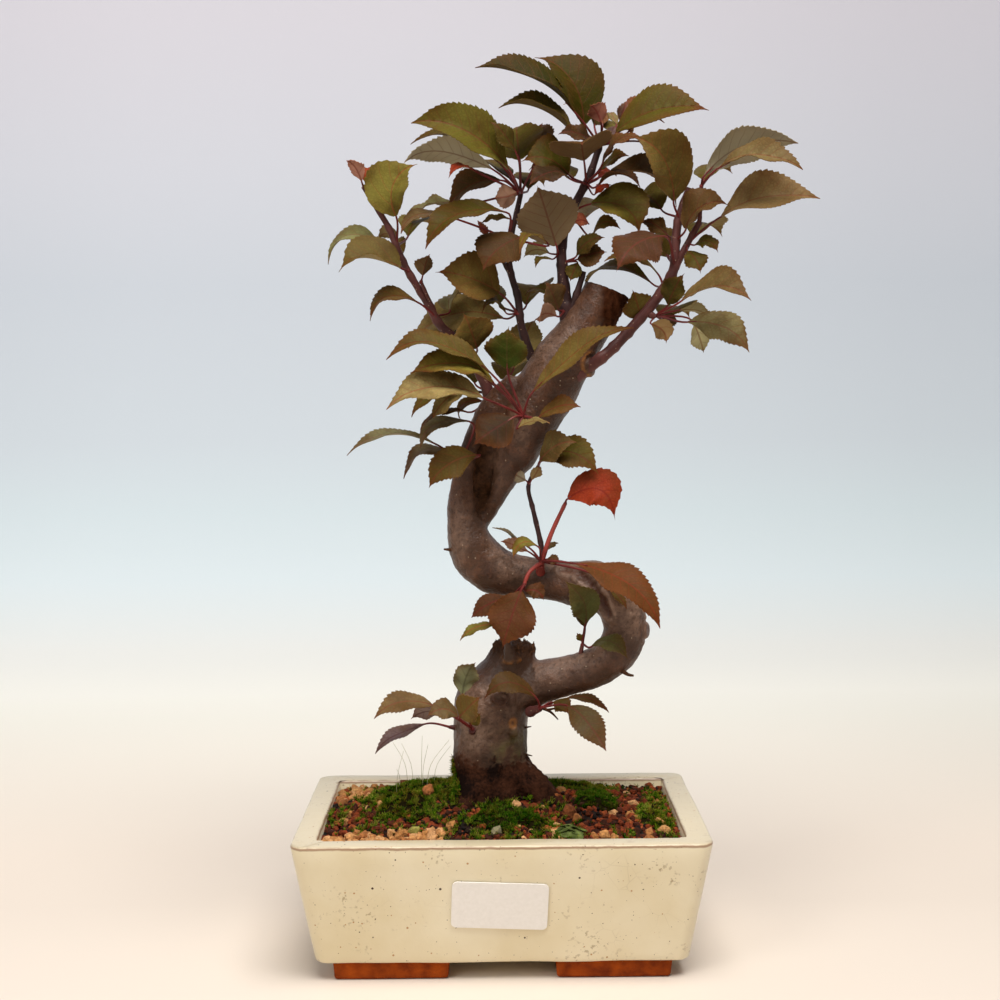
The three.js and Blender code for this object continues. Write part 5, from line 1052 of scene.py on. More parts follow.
SHOOTS = [
  {
    "name": "leader_shoot",
    "bark": "#3A2422",
    "twigs": [
      [[30.5, -1, 264, 3.6], [29.4, -1, 272, 3.3], [28.4, -1, 281, 2.8], [27.6, -2, 291, 2.3],
        [27.4, -2, 300, 2.2], [30, -1, 312, 1.9], [34.6, 0, 320.5, 1.8], [39.5, 0, 330, 1.6],
        [43.6, -1, 342, 1.4]],
      [[30.2, -2, 270, 1.9], [33.6, -3, 280, 1.5], [36.6, -4, 289.5, 1.1]],
    ],
    "clusters": [
      {"bud": [43.6, -1, 342], "leaves": [
        [33, -6, 355, -9, -14, 373.5, 22, 3, 57, 32, "night"],
        [37, 1, 351, 16.3, -2, 382.5, 26, 5.5, 35, 22, "night"],
        [32, -9, 346, 0.5, -15, 357, 16, 3, 60, 28, "dark"],
        [41, -11, 341.5, 25.5, -20, 344.5, 9, 1, 40, 10, "umber"],
        [50, -5, 346.5, 89, -12, 355.5, 24, 3, 45, 24, "deep"],
        [55, 6, 352, 67.5, 12, 364.5, 9, 1.5, 40, 15, "orange"],
        [52.5, 3, 352, 55.5, 4, 361, 5, 0, 20, 25, "pinkpale"],
        [51, -3, 351, 48.3, -5, 358.5, 4.5, 0, 30, 20, "pale"],
        [43.4, -11, 350, 38.3, -16, 356.5, 8, 1, 160, 15, "pink"],
        [44.6, -9, 350, 46, -11, 360.5, 6, 0, 150, 15, "brownred"],
        [56, 1, 348, 71.7, 5, 352, 8, 2.5, 80, 15, "red"],
        [61, 4, 345, 70, 9, 340.5, 7, 1, 50, 10, "dark"],
        [46, -10, 342.5, 50, -14, 349.5, 4.5, 0, 20, 25, "plum"],
        [42, 8, 352, 30, 30, 366, 20, 3, 80, 15, "olive"],
        [50, 9, 349, 62, 34, 354, 18, 3, 80, 15, "olive"],
      ]},
      {"bud": [38, 0, 326], "leaves": [
        [36.5, -10, 334.5, 34.5, -34, 337.5, 25, 2, 90, 12, "brown"],
        [44, -13, 333, 61, -19, 341.5, 9, 4, 60, 15, "brown"],
        [46, -4, 329.5, 78, 3, 316.5, 20, 6, 60, 25, "brown"],
        [42, -11, 324, 59.7, -17, 322.3, 10, 4, 75, 18, "umber"],
        [43, -7, 328.5, 52.5, -6, 332.2, 7, 1, 60, 18, "red"],
        [41.5, -5, 321.5, 48.5, -4, 325.5, 6, 0.5, 60, 10, "red"],
        [44, 6, 332, 55, 12, 336.5, 8, 1, 50, 10, "dark"],
        [30, -10, 329, 10, -16, 334, 20, 3, 30, 8, "deep"],
        [30, -14, 326, 13, -20, 322, 12, 2, 50, 10, "umber"],
        [33, 10, 330, 14, 32, 338, 20, 3, 80, 15, "olive"],
      ]},
      {"bud": [30.8, -1, 314], "leaves": [
        [39.5, -5, 317.3, 60, -13, 303, 24, 5, 45, 15, "olive"],
        # painted light: this young leaf hangs in shade and takes the brighter coral tint
        [38.5, -3, 309.5, 30.8, -7, 309, 6.5, 1, 30, 12, "coral"],
        [40.5, -5, 304.5, 52, -10, 306.5, 7, 3.5, 50, 10, "olive"],
        [38, 10, 313, 56, 30, 318, 20, 3, 80, 15, "grey"],
      ]},
      {"bud": [29, -3, 293.5], "leaves": [
        [33.5, -7, 295.8, 45, -13, 303, 9, 1.5, 40, 10, "dark"],
        [34, -7, 294.4, 46, -16, 297.5, 12, 0, 30, 5, "brown"],
        [34, -5, 293, 30.5, -12, 285, 7, 0, 20, 10, "olive"],
      ]},
      {"bud": [26, -3, 296.5], "leaves": [
        [25, -8, 299.5, 16.5, -14, 325, 25, 0, 172, 8, "taupe"],
        [23, -6, 294.5, 15.8, -11, 290.8, 5, 1.5, 60, 18, "olive"],
        [22, -1, 297.5, 11, 2, 296, 8, 2, 130, 10, "pale"],
      ]},
      {"bud": [28.6, -3, 273], "leaves": [
        [25.5, -6, 273.5, 20, -13, 285.2, 13, 0, 30, 10, "taupe"],
        [24, -3, 280, 11.5, 2, 279.8, 7, 2, 60, 10, "dark"],
        [25, -7, 270.5, 16.5, -14, 267.5, 8, 2, 130, 10, "pinkpale"],
      ]},
    ],
  },
  {
    "name": "mid_left_shoot",
    "bark": "#3A2422",
    "twigs": [
      [[19, 1, 244, 2.2], [15.6, 1, 251, 2.1], [12.6, 0, 259, 1.9], [10, -1, 268, 1.7], [8.8, -1, 279, 1.6],
        [6, -1, 289, 1.4], [5, -2, 300, 1.3], [8, -2, 312, 1.2], [10.3, -2, 322, 1.1]],
      [[8, -1, 283, 1], [4.6, -2, 290.5, 0.9], [1.5, -3, 296, 0.8]],
    ],
    "clusters": [
      {"bud": [10.3, -2, 322], "leaves": [
        [5.5, -12, 330.5, -35, -24, 349.5, 21, 4.5, 35, 20, "olive"],
        [4, -3, 332, -36.8, -6, 344, 14, 5, 60, 20, "dark"],
        [-1.5, -8, 331.5, -38.8, -17, 333.5, 14, 4, 130, 10, "grey"],
        [10, -8, 336, 9.5, 2, 354, 23, 0, 20, 10, "olive"],
        [17, -5, 338, 20, -9, 355, 15, 0, 30, 10, "brown"],
        [8, -14, 338, -2, -20, 349.5, 9, 0, 40, 10, "dark"],
        [2, -5, 328, -21.5, -12, 316, 15, 3, 50, 15, "brown"],
        [-9, -3, 331, -19.2, -6, 326, 5, 2, 60, 15, "red"],
        [8.5, -8, 322, -1.5, -13, 319.5, 9.5, -1, 160, 10, "pinkpale"],
        [-17, 1, 319, -41, -2, 315.5, 10, 1, 60, 18, "pale"],
        [6, 10, 330, -16, 32, 338, 20, 3, 80, 15, "olive"],
        [14, 10, 326, 22, 34, 332, 18, 3, 80, 15, "olive"],
      ]},
      {"bud": [5, -2, 303], "leaves": [
        [4, -10, 313.3, -30, -20, 297.5, 16, 5, 50, 15, "deep"],
        [5.5, -5, 311.5, -7, -8, 309, 5, 1, 110, 10, "deep"],
        [-20, -6, 312.5, -40.3, -13, 304.8, 9, 3.5, 60, 10, "tan"],
        [10, -10, 303, -6.5, -19, 288, 21, 2, 30, 10, "brown"],
        [21, -10, 300, 8.7, -14, 294.5, 6, 4.5, 70, 10, "olive"],
        [-3.5, 0, 304, -8, -1, 311.5, 3.5, 0, 20, 15, "pink"],
      ]},
      {"bud": [8.8, -2, 272], "leaves": [
        [1, -8, 280.5, -26, -16, 289.7, 24, 1, 25, 25, "ochre"],
        [3.5, -7, 272.5, -6.8, -12, 272, 7, 4.5, 65, 15, "olive"],
        # painted light: this leaf hangs in shade and takes the bright straw tint
        [3, 3, 270.5, -41, 9, 258.5, 23, 6, 45, 12, "straw"],
        [12.5, 5, 276, 22, 28, 284, 18, 3, 80, 15, "olive"],
        [1, 10, 277, -18, 30, 286, 20, 3, 80, 15, "olive"],
      ]},
    ],
  },
  {
    "name": "left_branch_shoot",
    "twigs": [
      [[-2, 3, 231, 2.8], [-5.4, 2, 243, 2.5], [-10, 1, 251, 2.2], [-17, -1, 260.5, 2],
        [-24.5, -2, 268, 1.9], [-29.5, -2, 277, 1.7], [-37.5, -3, 290.3, 1.5], [-42.5, -3, 301.5, 1.4],
        [-46, -3, 309.7, 1.3], [-55.5, -4, 325, 0.9]],
      [[-26.5, -2, 273.5, 1], [-29.5, -4, 280, 0.8], [-31.8, -6, 285.5, 0.7]],
    ],
    "clusters": [
      {"bud": [-12, -1, 254], "leaves": [
        [-8.6, -12, 257.5, -14, -20, 272, 19, 0, 15, 18, "ochre"],
        [-16, 8, 258, -30, 28, 262, 18, 3, 80, 15, "olive"],
      ]},
      {"bud": [-26, -3, 271], "leaves": [
        [-33.5, -7, 277, -53.5, -12, 268.7, 14, 5.5, 60, 18, "bronze"],
        [-20, 8, 274, -12, 28, 282, 18, 3, 80, 15, "pale"],
      ]},
      {"bud": [-31.8, -6, 285.5], "leaves": [
        [-31, -8, 288, -28, -11, 297, 9, 0, 140, 15, "brown"],
      ]},
      {"bud": [-37.5, -4, 290.3], "leaves": [
        [-40, -8, 291, -66.5, -15, 290, 23, 3.5, 55, 28, "ochre"],
        [-42, 8, 294, -54, 30, 300, 18, 3, 80, 15, "olive"],
      ]},
      {"bud": [-42, -3, 300.5], "leaves": [
        [-49, -2, 301.3, -73, -4, 293.5, 14, 7, 65, 15, "pale"],
        [-42, 2, 302.5, -51.5, 5, 304, 8, 3, 130, 10, "tan"],
        [-41.8, -9, 312.5, -32.5, -14, 335, 24, 5, 35, 25, "lime"],
        [-38, 8, 306, -26, 30, 314, 18, 3, 80, 15, "olive"],
      ]},
      {"bud": [-55.5, -4, 325], "leaves": [
        [-54, -6, 326.5, -48.8, -9, 333.8, 8, 1, 20, 10, "red"],
        [-56, -6, 327, -61.8, -9, 335, 6.5, 1, 150, 15, "salmon"],
      ]},
    ],
  },
  {
    "name": "right_branch_shoot",
    "twigs": [
      [[30, -5, 243, 3.2], [40, -8, 250.5, 2.7], [47.5, -8, 256.3, 2.4], [56, -7, 265, 2.3],
        [64, -6, 274, 2.2], [70.8, -5, 283, 2.2], [74.3, -5, 290, 2.1], [75, -5, 298, 1.9],
        [76.2, -5, 310, 1.8], [81, -5, 323.5, 1.7]],
      [[74.3, -5, 289.5, 1.7], [80, -6, 300.5, 1.4], [85, -7, 309.5, 1.3]],
      [[84.8, -7, 309, 0.9], [85.3, -8, 317, 0.8], [85.4, -9, 324, 0.8]],
      [[62.6, -6, 272, 1.6], [66.5, -6.4, 270, 1.2]],
    ],
    "clusters": [
      {"bud": [85.4, -9, 324], "leaves": [
        [86, -11, 327.5, 124.6, -20, 340.3, 18, 5, 140, 8, "grey"],
        [92, -14, 330.5, 123.8, -24, 328.2, 14, 3, 50, 25, "tan"],
        [88, 4, 328, 104, 26, 334, 18, 3, 80, 15, "olive"],
      ]},
      {"bud": [80, -6, 300.5], "leaves": [
        [93, -12, 310.8, 133, -22, 317.5, 21, 2.5, 45, 22, "tan"],
        [83, -8, 299.8, 92, -13, 296, 9, 2.5, 45, 5, "olive"],
        [79.6, -10, 297, 84.5, -16, 287.5, 10, 0.5, 20, 5, "olive"],
        [84, 4, 304, 100, 26, 308, 18, 3, 80, 15, "olive"],
      ]},
      {"bud": [76.4, -6, 311], "leaves": [
        [73.4, -10, 317.5, 53.5, -19, 343, 26, 5, 30, 20, "ochre"],
        [70, 6, 316, 60, 28, 322, 18, 3, 80, 15, "olive"],
      ]},
      {"bud": [75.6, -6, 302], "leaves": [
        [78.6, -11, 305.8, 96.5, -18, 315.5, 18, 4, 50, 25, "brown"],
        # painted light: this leaf hangs in shade and takes the brighter amber tint
        [72, 1, 305, 61, 6, 311, 9, 1, 40, 10, "amber"],
      ]},
      {"bud": [74.6, -6, 291.5], "leaves": [
        [69, -12, 302.5, 47.5, -21, 287.5, 20, 3, 30, -8, "brownpink"],
        [72, 1, 296.5, 58, 6, 299, 10, 1, 50, 10, "olive"],
        [73, 6, 296, 66, 28, 304, 18, 3, 80, 15, "olive"],
      ]},
      {"bud": [70.3, -4, 282.3], "leaves": [
        [66.5, 2, 285, 36.5, 8, 283, 12, 7.5, 70, 15, "olive"],
        [68, 4, 288, 44, 9, 294, 9, 3, 60, 10, "olive"],
      ]},
      {"bud": [66.5, -6, 270.5], "leaves": [
        [71.5, -9, 275, 77.5, -14, 288, 11, 0, 30, 15, "dark"],
        [76, -15, 276, 102.5, -24, 275.5, 17, 4, 55, 25, "tan"],
        [79, -13, 267.5, 104, -21, 254.2, 15, 4, 25, 10, "pale"],
        [83, -6, 267, 86.5, -10, 254.5, 9, 0, 150, 10, "pale"],
        [77, -3, 273, 91, -6, 267.5, 7, 2, 120, 10, "pale"],
        [64.5, -9, 267, 70.3, -13, 258.5, 9, 2, 150, 10, "bronze"],
        [69.5, -8, 269.2, 77, -12, 268, 6, 0.5, 30, 5, "brown"],
        [72, 6, 270, 86, 28, 272, 18, 3, 80, 15, "olive"],
      ]},
      {"bud": [58.4, -7, 267.5], "leaves": [
        [60, 1, 270, 56.8, 6, 281.5, 14, 0, 20, 8, "ochre"],
      ]},
    ],
  },
  {
    "name": "middle_shoot",
    "twigs": [[[10.5, -8, 228, 2.4], [10.5, -15, 229, 1.8]]],
    "clusters": [
      {"bud": [10.4, -15.5, 229], "leaves": [
        [-2, -23, 246, -46.5, -32, 254.5, 14, 6, 60, 25, "ochre"],
        [0, -20, 240.5, -37, -29, 246.5, 15, 4, 95, 22, "yellow"],
        [-2, -16, 243, -36, -16, 248, 18, 4, 55, 18, "lime"],
        [-6, -25, 236.8, -46.5, -36, 233.5, 20, 4.5, 50, 22, "straw"],
        [6, -22, 228.5, -11, -29, 217.5, 17, 0, 20, -8, "umber"],
        [14, -20, 238.5, 56.5, -22, 266.3, 15, 2, 48, 25, "ochre"],
        [17, -18, 228.5, 34.3, -24, 233, 10, 1.5, 50, 10, "bronze"],
        [8, -20, 224, 21.5, -26, 227, 6, 1, 110, 10, "straw"],
        [4, -14, 249, 4.5, -16, 266.5, 18, 0, 20, 8, "green"],
      ]},
    ],
  },
  {
    "name": "stub_shoot",
    "twigs": [[[1, 4, 234, 1.6], [-1.5, 8, 238, 1.3]]],
    "clusters": [
      {"bud": [-1.5, 8, 238], "leaves": [
        [-16, 3, 240, -37.5, 0, 228.5, 9, 3, 60, 12, "olive"],
        # painted light: this leaf hangs in shade and takes the bright straw tint
        [-14, 7, 239, -29, 5, 227, 10, 2, 40, 10, "straw"],
        [-6, 2, 235, -17, -2, 226, 6, 4, 60, 10, "bronze"],
        # painted light: this leaf hangs in shade behind others and takes the bright straw tint
        [7, 6, 249, 17, 8, 272, 17, 0, 30, 8, "straw"],
        [-13, 6, 230.5, -35, 4, 220.5, 7, 4, 70, 10, "brown"],
        [-10, 16, 243, -24, 36, 250, 18, 3, 80, 15, "olive"],
        [4, 18, 243, 12, 40, 250, 18, 3, 80, 15, "yellow"],
      ]},
    ],
  },
  {
    "name": "left_cleft_shoot",
    "twigs": [[[-12, 0, 206, 1.6], [-15.5, -6, 208.5, 1.3]]],
    "clusters": [
      {"bud": [-15.8, -6.5, 208.7], "leaves": [
        [-27, -12, 218, -64, -19, 213.8, 10, 4, 70, 18, "grey"],
        [-12, -13, 227, -33, -17, 216.5, 9, 4, 60, 10, "grey"],
        [-19, -6, 211.5, -41, -8, 202.5, 11, 6.5, 65, 10, "grey"],
        [-8.5, -16, 213, -29.5, -21, 199.5, 14, 3, 25, 8, "ochre"],
      ]},
    ],
  },
  {
    "name": "loop_top_shoot",
    "bark": "#3A2422",
    "twigs": [
      [[17.5, -4, 161, 2], [17.6, -8.5, 166, 1.6]],
      [[17.6, -8, 166, 1.1], [18, -6, 173, 1.1], [14.6, -5, 189, 1], [12.7, -5, 197, 0.9],
        [13.4, -5, 202, 0.8], [16.8, -6, 207.5, 0.7]],
      [[17.6, -8.5, 166, 1.1], [22, -9, 179, 1], [28, -10, 192, 0.8]],
      [[17.4, -8.5, 166.5, 1], [12.6, -14, 163.5, 0.8], [10.4, -15.5, 158.5, 0.8]],
    ],
    "clusters": [
      {"bud": [16.8, -6, 207.5], "leaves": [
        [17.4, -9, 210, 33, -15, 218.5, 13, 2, 35, 10, "tan"],
        [18, -4, 209.8, 42.3, -6, 204.5, 16, 5.5, 40, 10, "olive"],
      ]},
      {"bud": [12.9, -5, 200], "leaves": [
        [14, -7, 202, 18, -11, 207.8, 5, 0, 150, 10, "tan"],
        [11.5, -4, 201.8, 7, -3, 204.8, 5, 0, 150, 10, "grey"],
      ]},
      {"bud": [28, -10, 192], "leaves": [
        [28.8, -12, 194, 48.5, -19, 184.3, 18, 9, 25, 10, "red"],
      ]},
      {"bud": [17.6, -9, 167.5], "leaves": [
        [16, -14, 174.5, 5.5, -19, 169.8, 7, 3.5, 55, 10, "lime"],
        [13.5, -7, 172.5, -3, -5, 182, 4, 0, 110, 10, "grey"],
        [12, -11, 172, 0.5, -14, 176.5, 7, 0, 140, 10, "pinkpale"],
        [19, -4, 172, 25.5, -2, 174.8, 4, 0, 60, 10, "pale"],
        [20.5, -9, 168.5, 26, -11, 167.8, 5, 0, 40, 5, "brown"],
        [31, -15, 168, 65.5, -19, 143.5, 17, 5, 40, 12, "orange"],
        [45, -19, 159, 53.5, -24, 148.5, 4, 0, 30, 10, "yellow"],
      ]},
      {"bud": [10.4, -15.5, 158.5], "leaves": [
        [9, -17, 156, 0.5, -21, 131.6, 20, 0, 15, -8, "brownred"],
        [4, -17, 153, -12.5, -24, 143.5, 9, 1, 30, 5, "brownred"],
        [11, -16, 155.5, 18.8, -22, 151.5, 7, 2, 30, 5, "brownred"],
        [-1, -14, 141, -17.5, -17, 135, 5.5, 1.5, 60, 10, "lime"],
      ]},
    ],
  },
  {
    "name": "loop_sprig",
    "twigs": [[[34.2, -4.5, 122, 1.3], [34.6, -6, 128, 1], [35.2, -7, 131.5, 0.8]]],
    "clusters": [
      {"bud": [35.2, -7, 131.5], "leaves": [
        [36, -8, 141, 27, -13, 161.5, 13, 3, 15, 8, "sage"],
        [38.5, -13, 132, 52.8, -19, 128.8, 9, 4, 45, 10, "sage"],
        [34.8, -8, 133, 32.8, -10, 136.5, 3, 0, 20, 8, "olive"],
        [37, 4, 137, 46, 20, 146, 12, 2, 80, 12, "olive"],
      ]},
    ],
  },
  {
    "name": "lower_left_shoot",
    "twigs": [[[-11.5, -11, 95, 1.8], [-12, -15.5, 97, 1.4]]],
    "clusters": [
      {"bud": [-12, -15.8, 97.4], "leaves": [
        [-16, -20, 113, -10, -23, 127.6, 10.5, 1, 160, 10, "greygreen"],
        [-18, -22, 104, -31, -27, 105, 9, 3, 35, 8, "tan"],
        [-17, -25, 105, -8, -31, 115.7, 12, 0, 20, 8, "yellow"],
        [-27.5, -18, 107.5, -53.5, -26, 104.5, 11, 3.5, 50, 15, "tan"],
        [-25, -15, 104, -38.5, -17, 100.5, 9, 1, 140, 5, "plum"],
        [-12.5, -20, 100.5, -8, -23, 105.8, 6, 0, 30, 8, "olive"],
      ]},
    ],
  },
  {
    "name": "left_side_leaf",
    "twigs": [[[-17, -2, 94.5, 1.3], [-21.4, -3, 95.4, 0.9]]],
    "clusters": [
      {"bud": [-21.6, -3, 95.4], "leaves": [
        [-32, -5, 97.4, -54, -11, 85.8, 8, 1, 60, 15, "plum"],
      ]},
    ],
  },
  {
    "name": "lower_right_shoot",
    "twigs": [[[12, -10, 103, 2.2], [16.6, -14, 105.6, 1.6]]],
    "clusters": [
      {"bud": [16.8, -14.2, 105.8], "leaves": [
        [15, -19, 111, -7.5, -23, 111.5, 11, 6, 50, 10, "brown"],
        [22.5, -13, 108, 28.8, -17, 103.5, 8, 1, 40, 5, "dark"],
        [28, -14, 108, 42.5, -22, 95.3, 12, 1, 30, 5, "taupe"],
        [27.5, -9, 108.5, 47, -11, 104, 5, 2, 60, 10, "brown"],
        [19, 6, 105, 30, 22, 108, 14, 2, 80, 12, "olive"],
      ]},
    ],
  },
]

UP = unit(np.array([-0.2, 0, 1.0]))
FRONT = np.array([0.0, -1, 0])
# How far a tip may be leaned back or forward, the free space to limbs and other leaves,
# and how near to its bud a stalk needs none
LEANS = [0] + [way * step for step in range(3, 25, 3) for way in (-1, 1)]
LIMB_SPACE, OWN_SPACE, OTHER_SHOOT_SPACE = 1.6, 1.6, 2.5
NEAR_BUD = 3
# Part of its length by which a leaf bulges towards its upper face
BULGE = 0.05


def leaf_frame(row):
    """A leaf's place, directions and sizes, from its row of numbers."""
    base, tip = np.array(row[0:3], float), np.array(row[3:6], float)
    chord = tip - base
    span = np.linalg.norm(chord)
    t = unit(chord)
    side = unit(FRONT - t * FRONT.dot(t))
    up = UP - side * UP.dot(side)
    up = unit(up - t * up.dot(t))
    if abs(t[1]) > 0.8:
        up = unit(UP - t * UP.dot(t))
        side = np.cross(up, t)
        side = -side if side[1] > 0 else side
    turn = math.radians(row[8])
    face = unit(side * math.cos(turn) + up * math.sin(turn))
    return {"base": base, "chord": chord, "span": span, "t": t, "up": up, "face": face,
            "width": row[6], "bow": row[7], "fold": math.radians(row[9])}


def blade_points(f, u, v, lift=0.0):
    """Points of a blade: u from base to tip, v across from -1 to 1, and their normals."""
    u, v = np.asarray(u, float)[..., None], np.asarray(v, float)[..., None]
    arch = 4 * u * (1 - u)
    p = f["base"] + f["chord"] * u + f["up"] * f["bow"] * arch + f["face"] * BULGE * f["span"] * arch
    slope = 4 * (1 - 2 * u) / f["span"]
    along = f["t"] + f["up"] * f["bow"] * slope
    along = rows_unit(along + f["face"] * BULGE * f["span"] * slope)
    across = rows_unit(np.cross(np.broadcast_to(f["face"], along.shape), along))
    normal = rows_unit(np.cross(along, across))
    half = f["width"] / 2 * np.sin(math.pi * np.clip(u, 0, 1) ** 0.86).clip(0) ** 0.8
    p = p + across * half * v * math.cos(f["fold"])
    p = p + normal * (half * np.abs(v) * math.sin(f["fold"]) + lift)
    return p, normal, along, half[..., 0]


def stalk_line(bud, f, steps=None):
    """The stalk's curve from its bud to the blade's base."""
    bud = np.array(bud, float)
    reach = np.linalg.norm(f["base"] - bud)
    lead = unit(blade_points(f, 0.1, 0.0)[0] - f["base"])
    c1 = bud + (f["base"] - bud) * 0.35 + np.array([0, 0, reach * 0.04])
    c2 = f["base"] - lead * reach * 0.3
    if steps is None:
        steps = 3 if reach > 16 else 2 if reach > 7 else 1
    t = (np.arange(steps + 1) / steps)[:, None]
    return (1 - t) ** 3 * bud + 3 * t * (1 - t) ** 2 * c1 + 3 * t * t * (1 - t) * c2 + t ** 3 * f["base"]


def outline_points(bud, row):
    """Points of a leaf and its stalk, to measure how far it keeps from others."""
    f = leaf_frame(row)
    u, v = np.meshgrid(np.clip(np.arange(17) / 16, 0.01, 0.99), np.arange(-4, 5) / 4, indexing="ij")
    out = [blade_points(f, u, v)[0].reshape(-1, 3)]
    stalk = stalk_line(bud, f)
    for a, b in zip(stalk, stalk[1:]):
        for t in (0.35, 0.7):
            p = a + (b - a) * t
            if np.linalg.norm(p - np.array(bud)) > NEAR_BUD:
                out.append(p[None])
    return np.concatenate(out)


def spare(points, low, high, obstacle, extra):
    """The least free distance between a leaf's points and a list of round points."""
    r = obstacle[:, 3] + extra
    inside = ((obstacle[:, :3] > low - r[:, None]) & (obstacle[:, :3] < high + r[:, None])).all(1)
    if not inside.any():
        return math.inf
    gaps = np.linalg.norm(points[:, None] - obstacle[inside, :3][None], axis=2)
    return (gaps - r[inside]).min()


# Neighbouring leaves yield to each other: each in turn leans towards or away from the
# front in steps until it is clear of the limbs, the twigs and the earlier leaves.
limb_points = np.concatenate([smooth_line(k, 4) for k in TRUNK_LINES.values()])
twig_points = {s["name"]: np.concatenate([smooth_line(t, 3) for t in s["twigs"]]) for s in SHOOTS}
placed = []
for shoot in SHOOTS:
    others = [points for name, points in twig_points.items() if name != shoot["name"]]
    obstacles = np.concatenate([limb_points, *others])
    for cluster in shoot["clusters"]:
        cluster["settled"] = []
        for row in cluster["leaves"]:
            best = None
            for lean in LEANS:
                trial = list(row)
                trial[1] += lean * 0.3
                trial[4] += lean
                points = outline_points(cluster["bud"], trial)
                low, high = points.min(0), points.max(0)
                least = spare(points, low, high, obstacles, LIMB_SPACE)
                for name, leaf, leaf_low, leaf_high in placed:
                    if least <= 0:
                        break
                    space = OWN_SPACE if name == shoot["name"] else OTHER_SHOOT_SPACE
                    if (low - space < leaf_high).all() and (leaf_low - space < high).all():
                        least = min(least, spare(points, low, high, leaf, space))
                if best is None or least > best[0]:
                    best = (least, trial, points, low, high)
                if least > 0:
                    break
            _, trial, points, low, high = best
            rounds = np.concatenate([points, np.zeros((len(points), 1))], 1)
            placed.append((shoot["name"], rounds, low, high))
            cluster["settled"].append(trial)

# Leaf colours: upper face, underside, veins. Young leaves are red to pink, grown ones olive to bronze;
# undersides are paler and greyed by down. A few leaves that hang in shade take a brighter tint than their
# own, as painted light.
TINTS = {
    "deep": ("#443E10", "#5E522A", "#542A18"), "taupe": ("#50422A", "#6A5840", "#5A3024"),
    "olive": ("#564C1B", "#7C6C42", "#5E2E1C"), "dark": ("#403814", "#645638", "#50281A"),
    "green": ("#3C4816", "#66642E", "#4E4220"), "lime": ("#7A7030", "#968C54", "#824428"),
    "yellow": ("#6E5E2E", "#8E7A4C", "#7A3E2A"), "amber": ("#7C6034", "#967E54", "#762E20"),
    "bronze": ("#5A4420", "#806642", "#682A1C"), "brown": ("#48351C", "#6A5438", "#58281C"),
    "brownred": ("#543520", "#6E4A31", "#622620"), "brownpink": ("#4A3322", "#6E5034", "#5E2A22"),
    "red": ("#86301A", "#9C4C34", "#6C1C12"), "orange": ("#623A1B", "#7E5436", "#742A18"),
    "pink": ("#7C4438", "#945E4E", "#7A2C26"), "pinkpale": ("#745444", "#8C6C58", "#783A2E"),
    "tan": ("#6C5A38", "#8A7852", "#70402C"), "pale": ("#7A744A", "#989068", "#704630"),
    "grey": ("#746B4E", "#A0987E", "#6C4C3E"), "greygreen": ("#464E34", "#6C6C4E", "#484430"),
    "plum": ("#6C5A56", "#96847E", "#50302E"), "sage": ("#585C34", "#7C7850", "#54402A"),
    "straw": ("#907E4C", "#B4A46C", "#8A4A34"), "umber": ("#2E1F11", "#422C19", "#4A2018"),
    "night": ("#2E2C04", "#544614", "#542A18"), "coral": ("#C4684C", "#CC8466", "#7A2A20"),
    "ochre": ("#5E5024", "#8A7848", "#6E3A22"), "salmon": ("#96624E", "#AC7C6A", "#6A2C26"),
}
# Millimetres: a blade's thickness, its teeth, its side veins and their rise between them;
# then how much the side veins slant towards the tip
BLADE, TOOTH, VEIN_STEP, QUILT, VEIN_SLANT = 0.28, 2.0, 4.3, 0.28, 0.75
# Sides of a twig, of a stalk or bud, steps along a stalk, and its radius at both ends
TWIG_SIDES, STALK_SIDES, STALK_STEPS, STALK_FOOT, STALK_END = 10, 7, 7, 0.56, 0.36
BUD_RADIUS = 0.9
# What the finish reads at each point of a spray, and the order of its three finishes
LAYERS = ("ribs", "tissue", "upper_tint", "under_tint", "vein_tint")
ON_BLADE, ON_STALK, ON_TWIG = range(3)


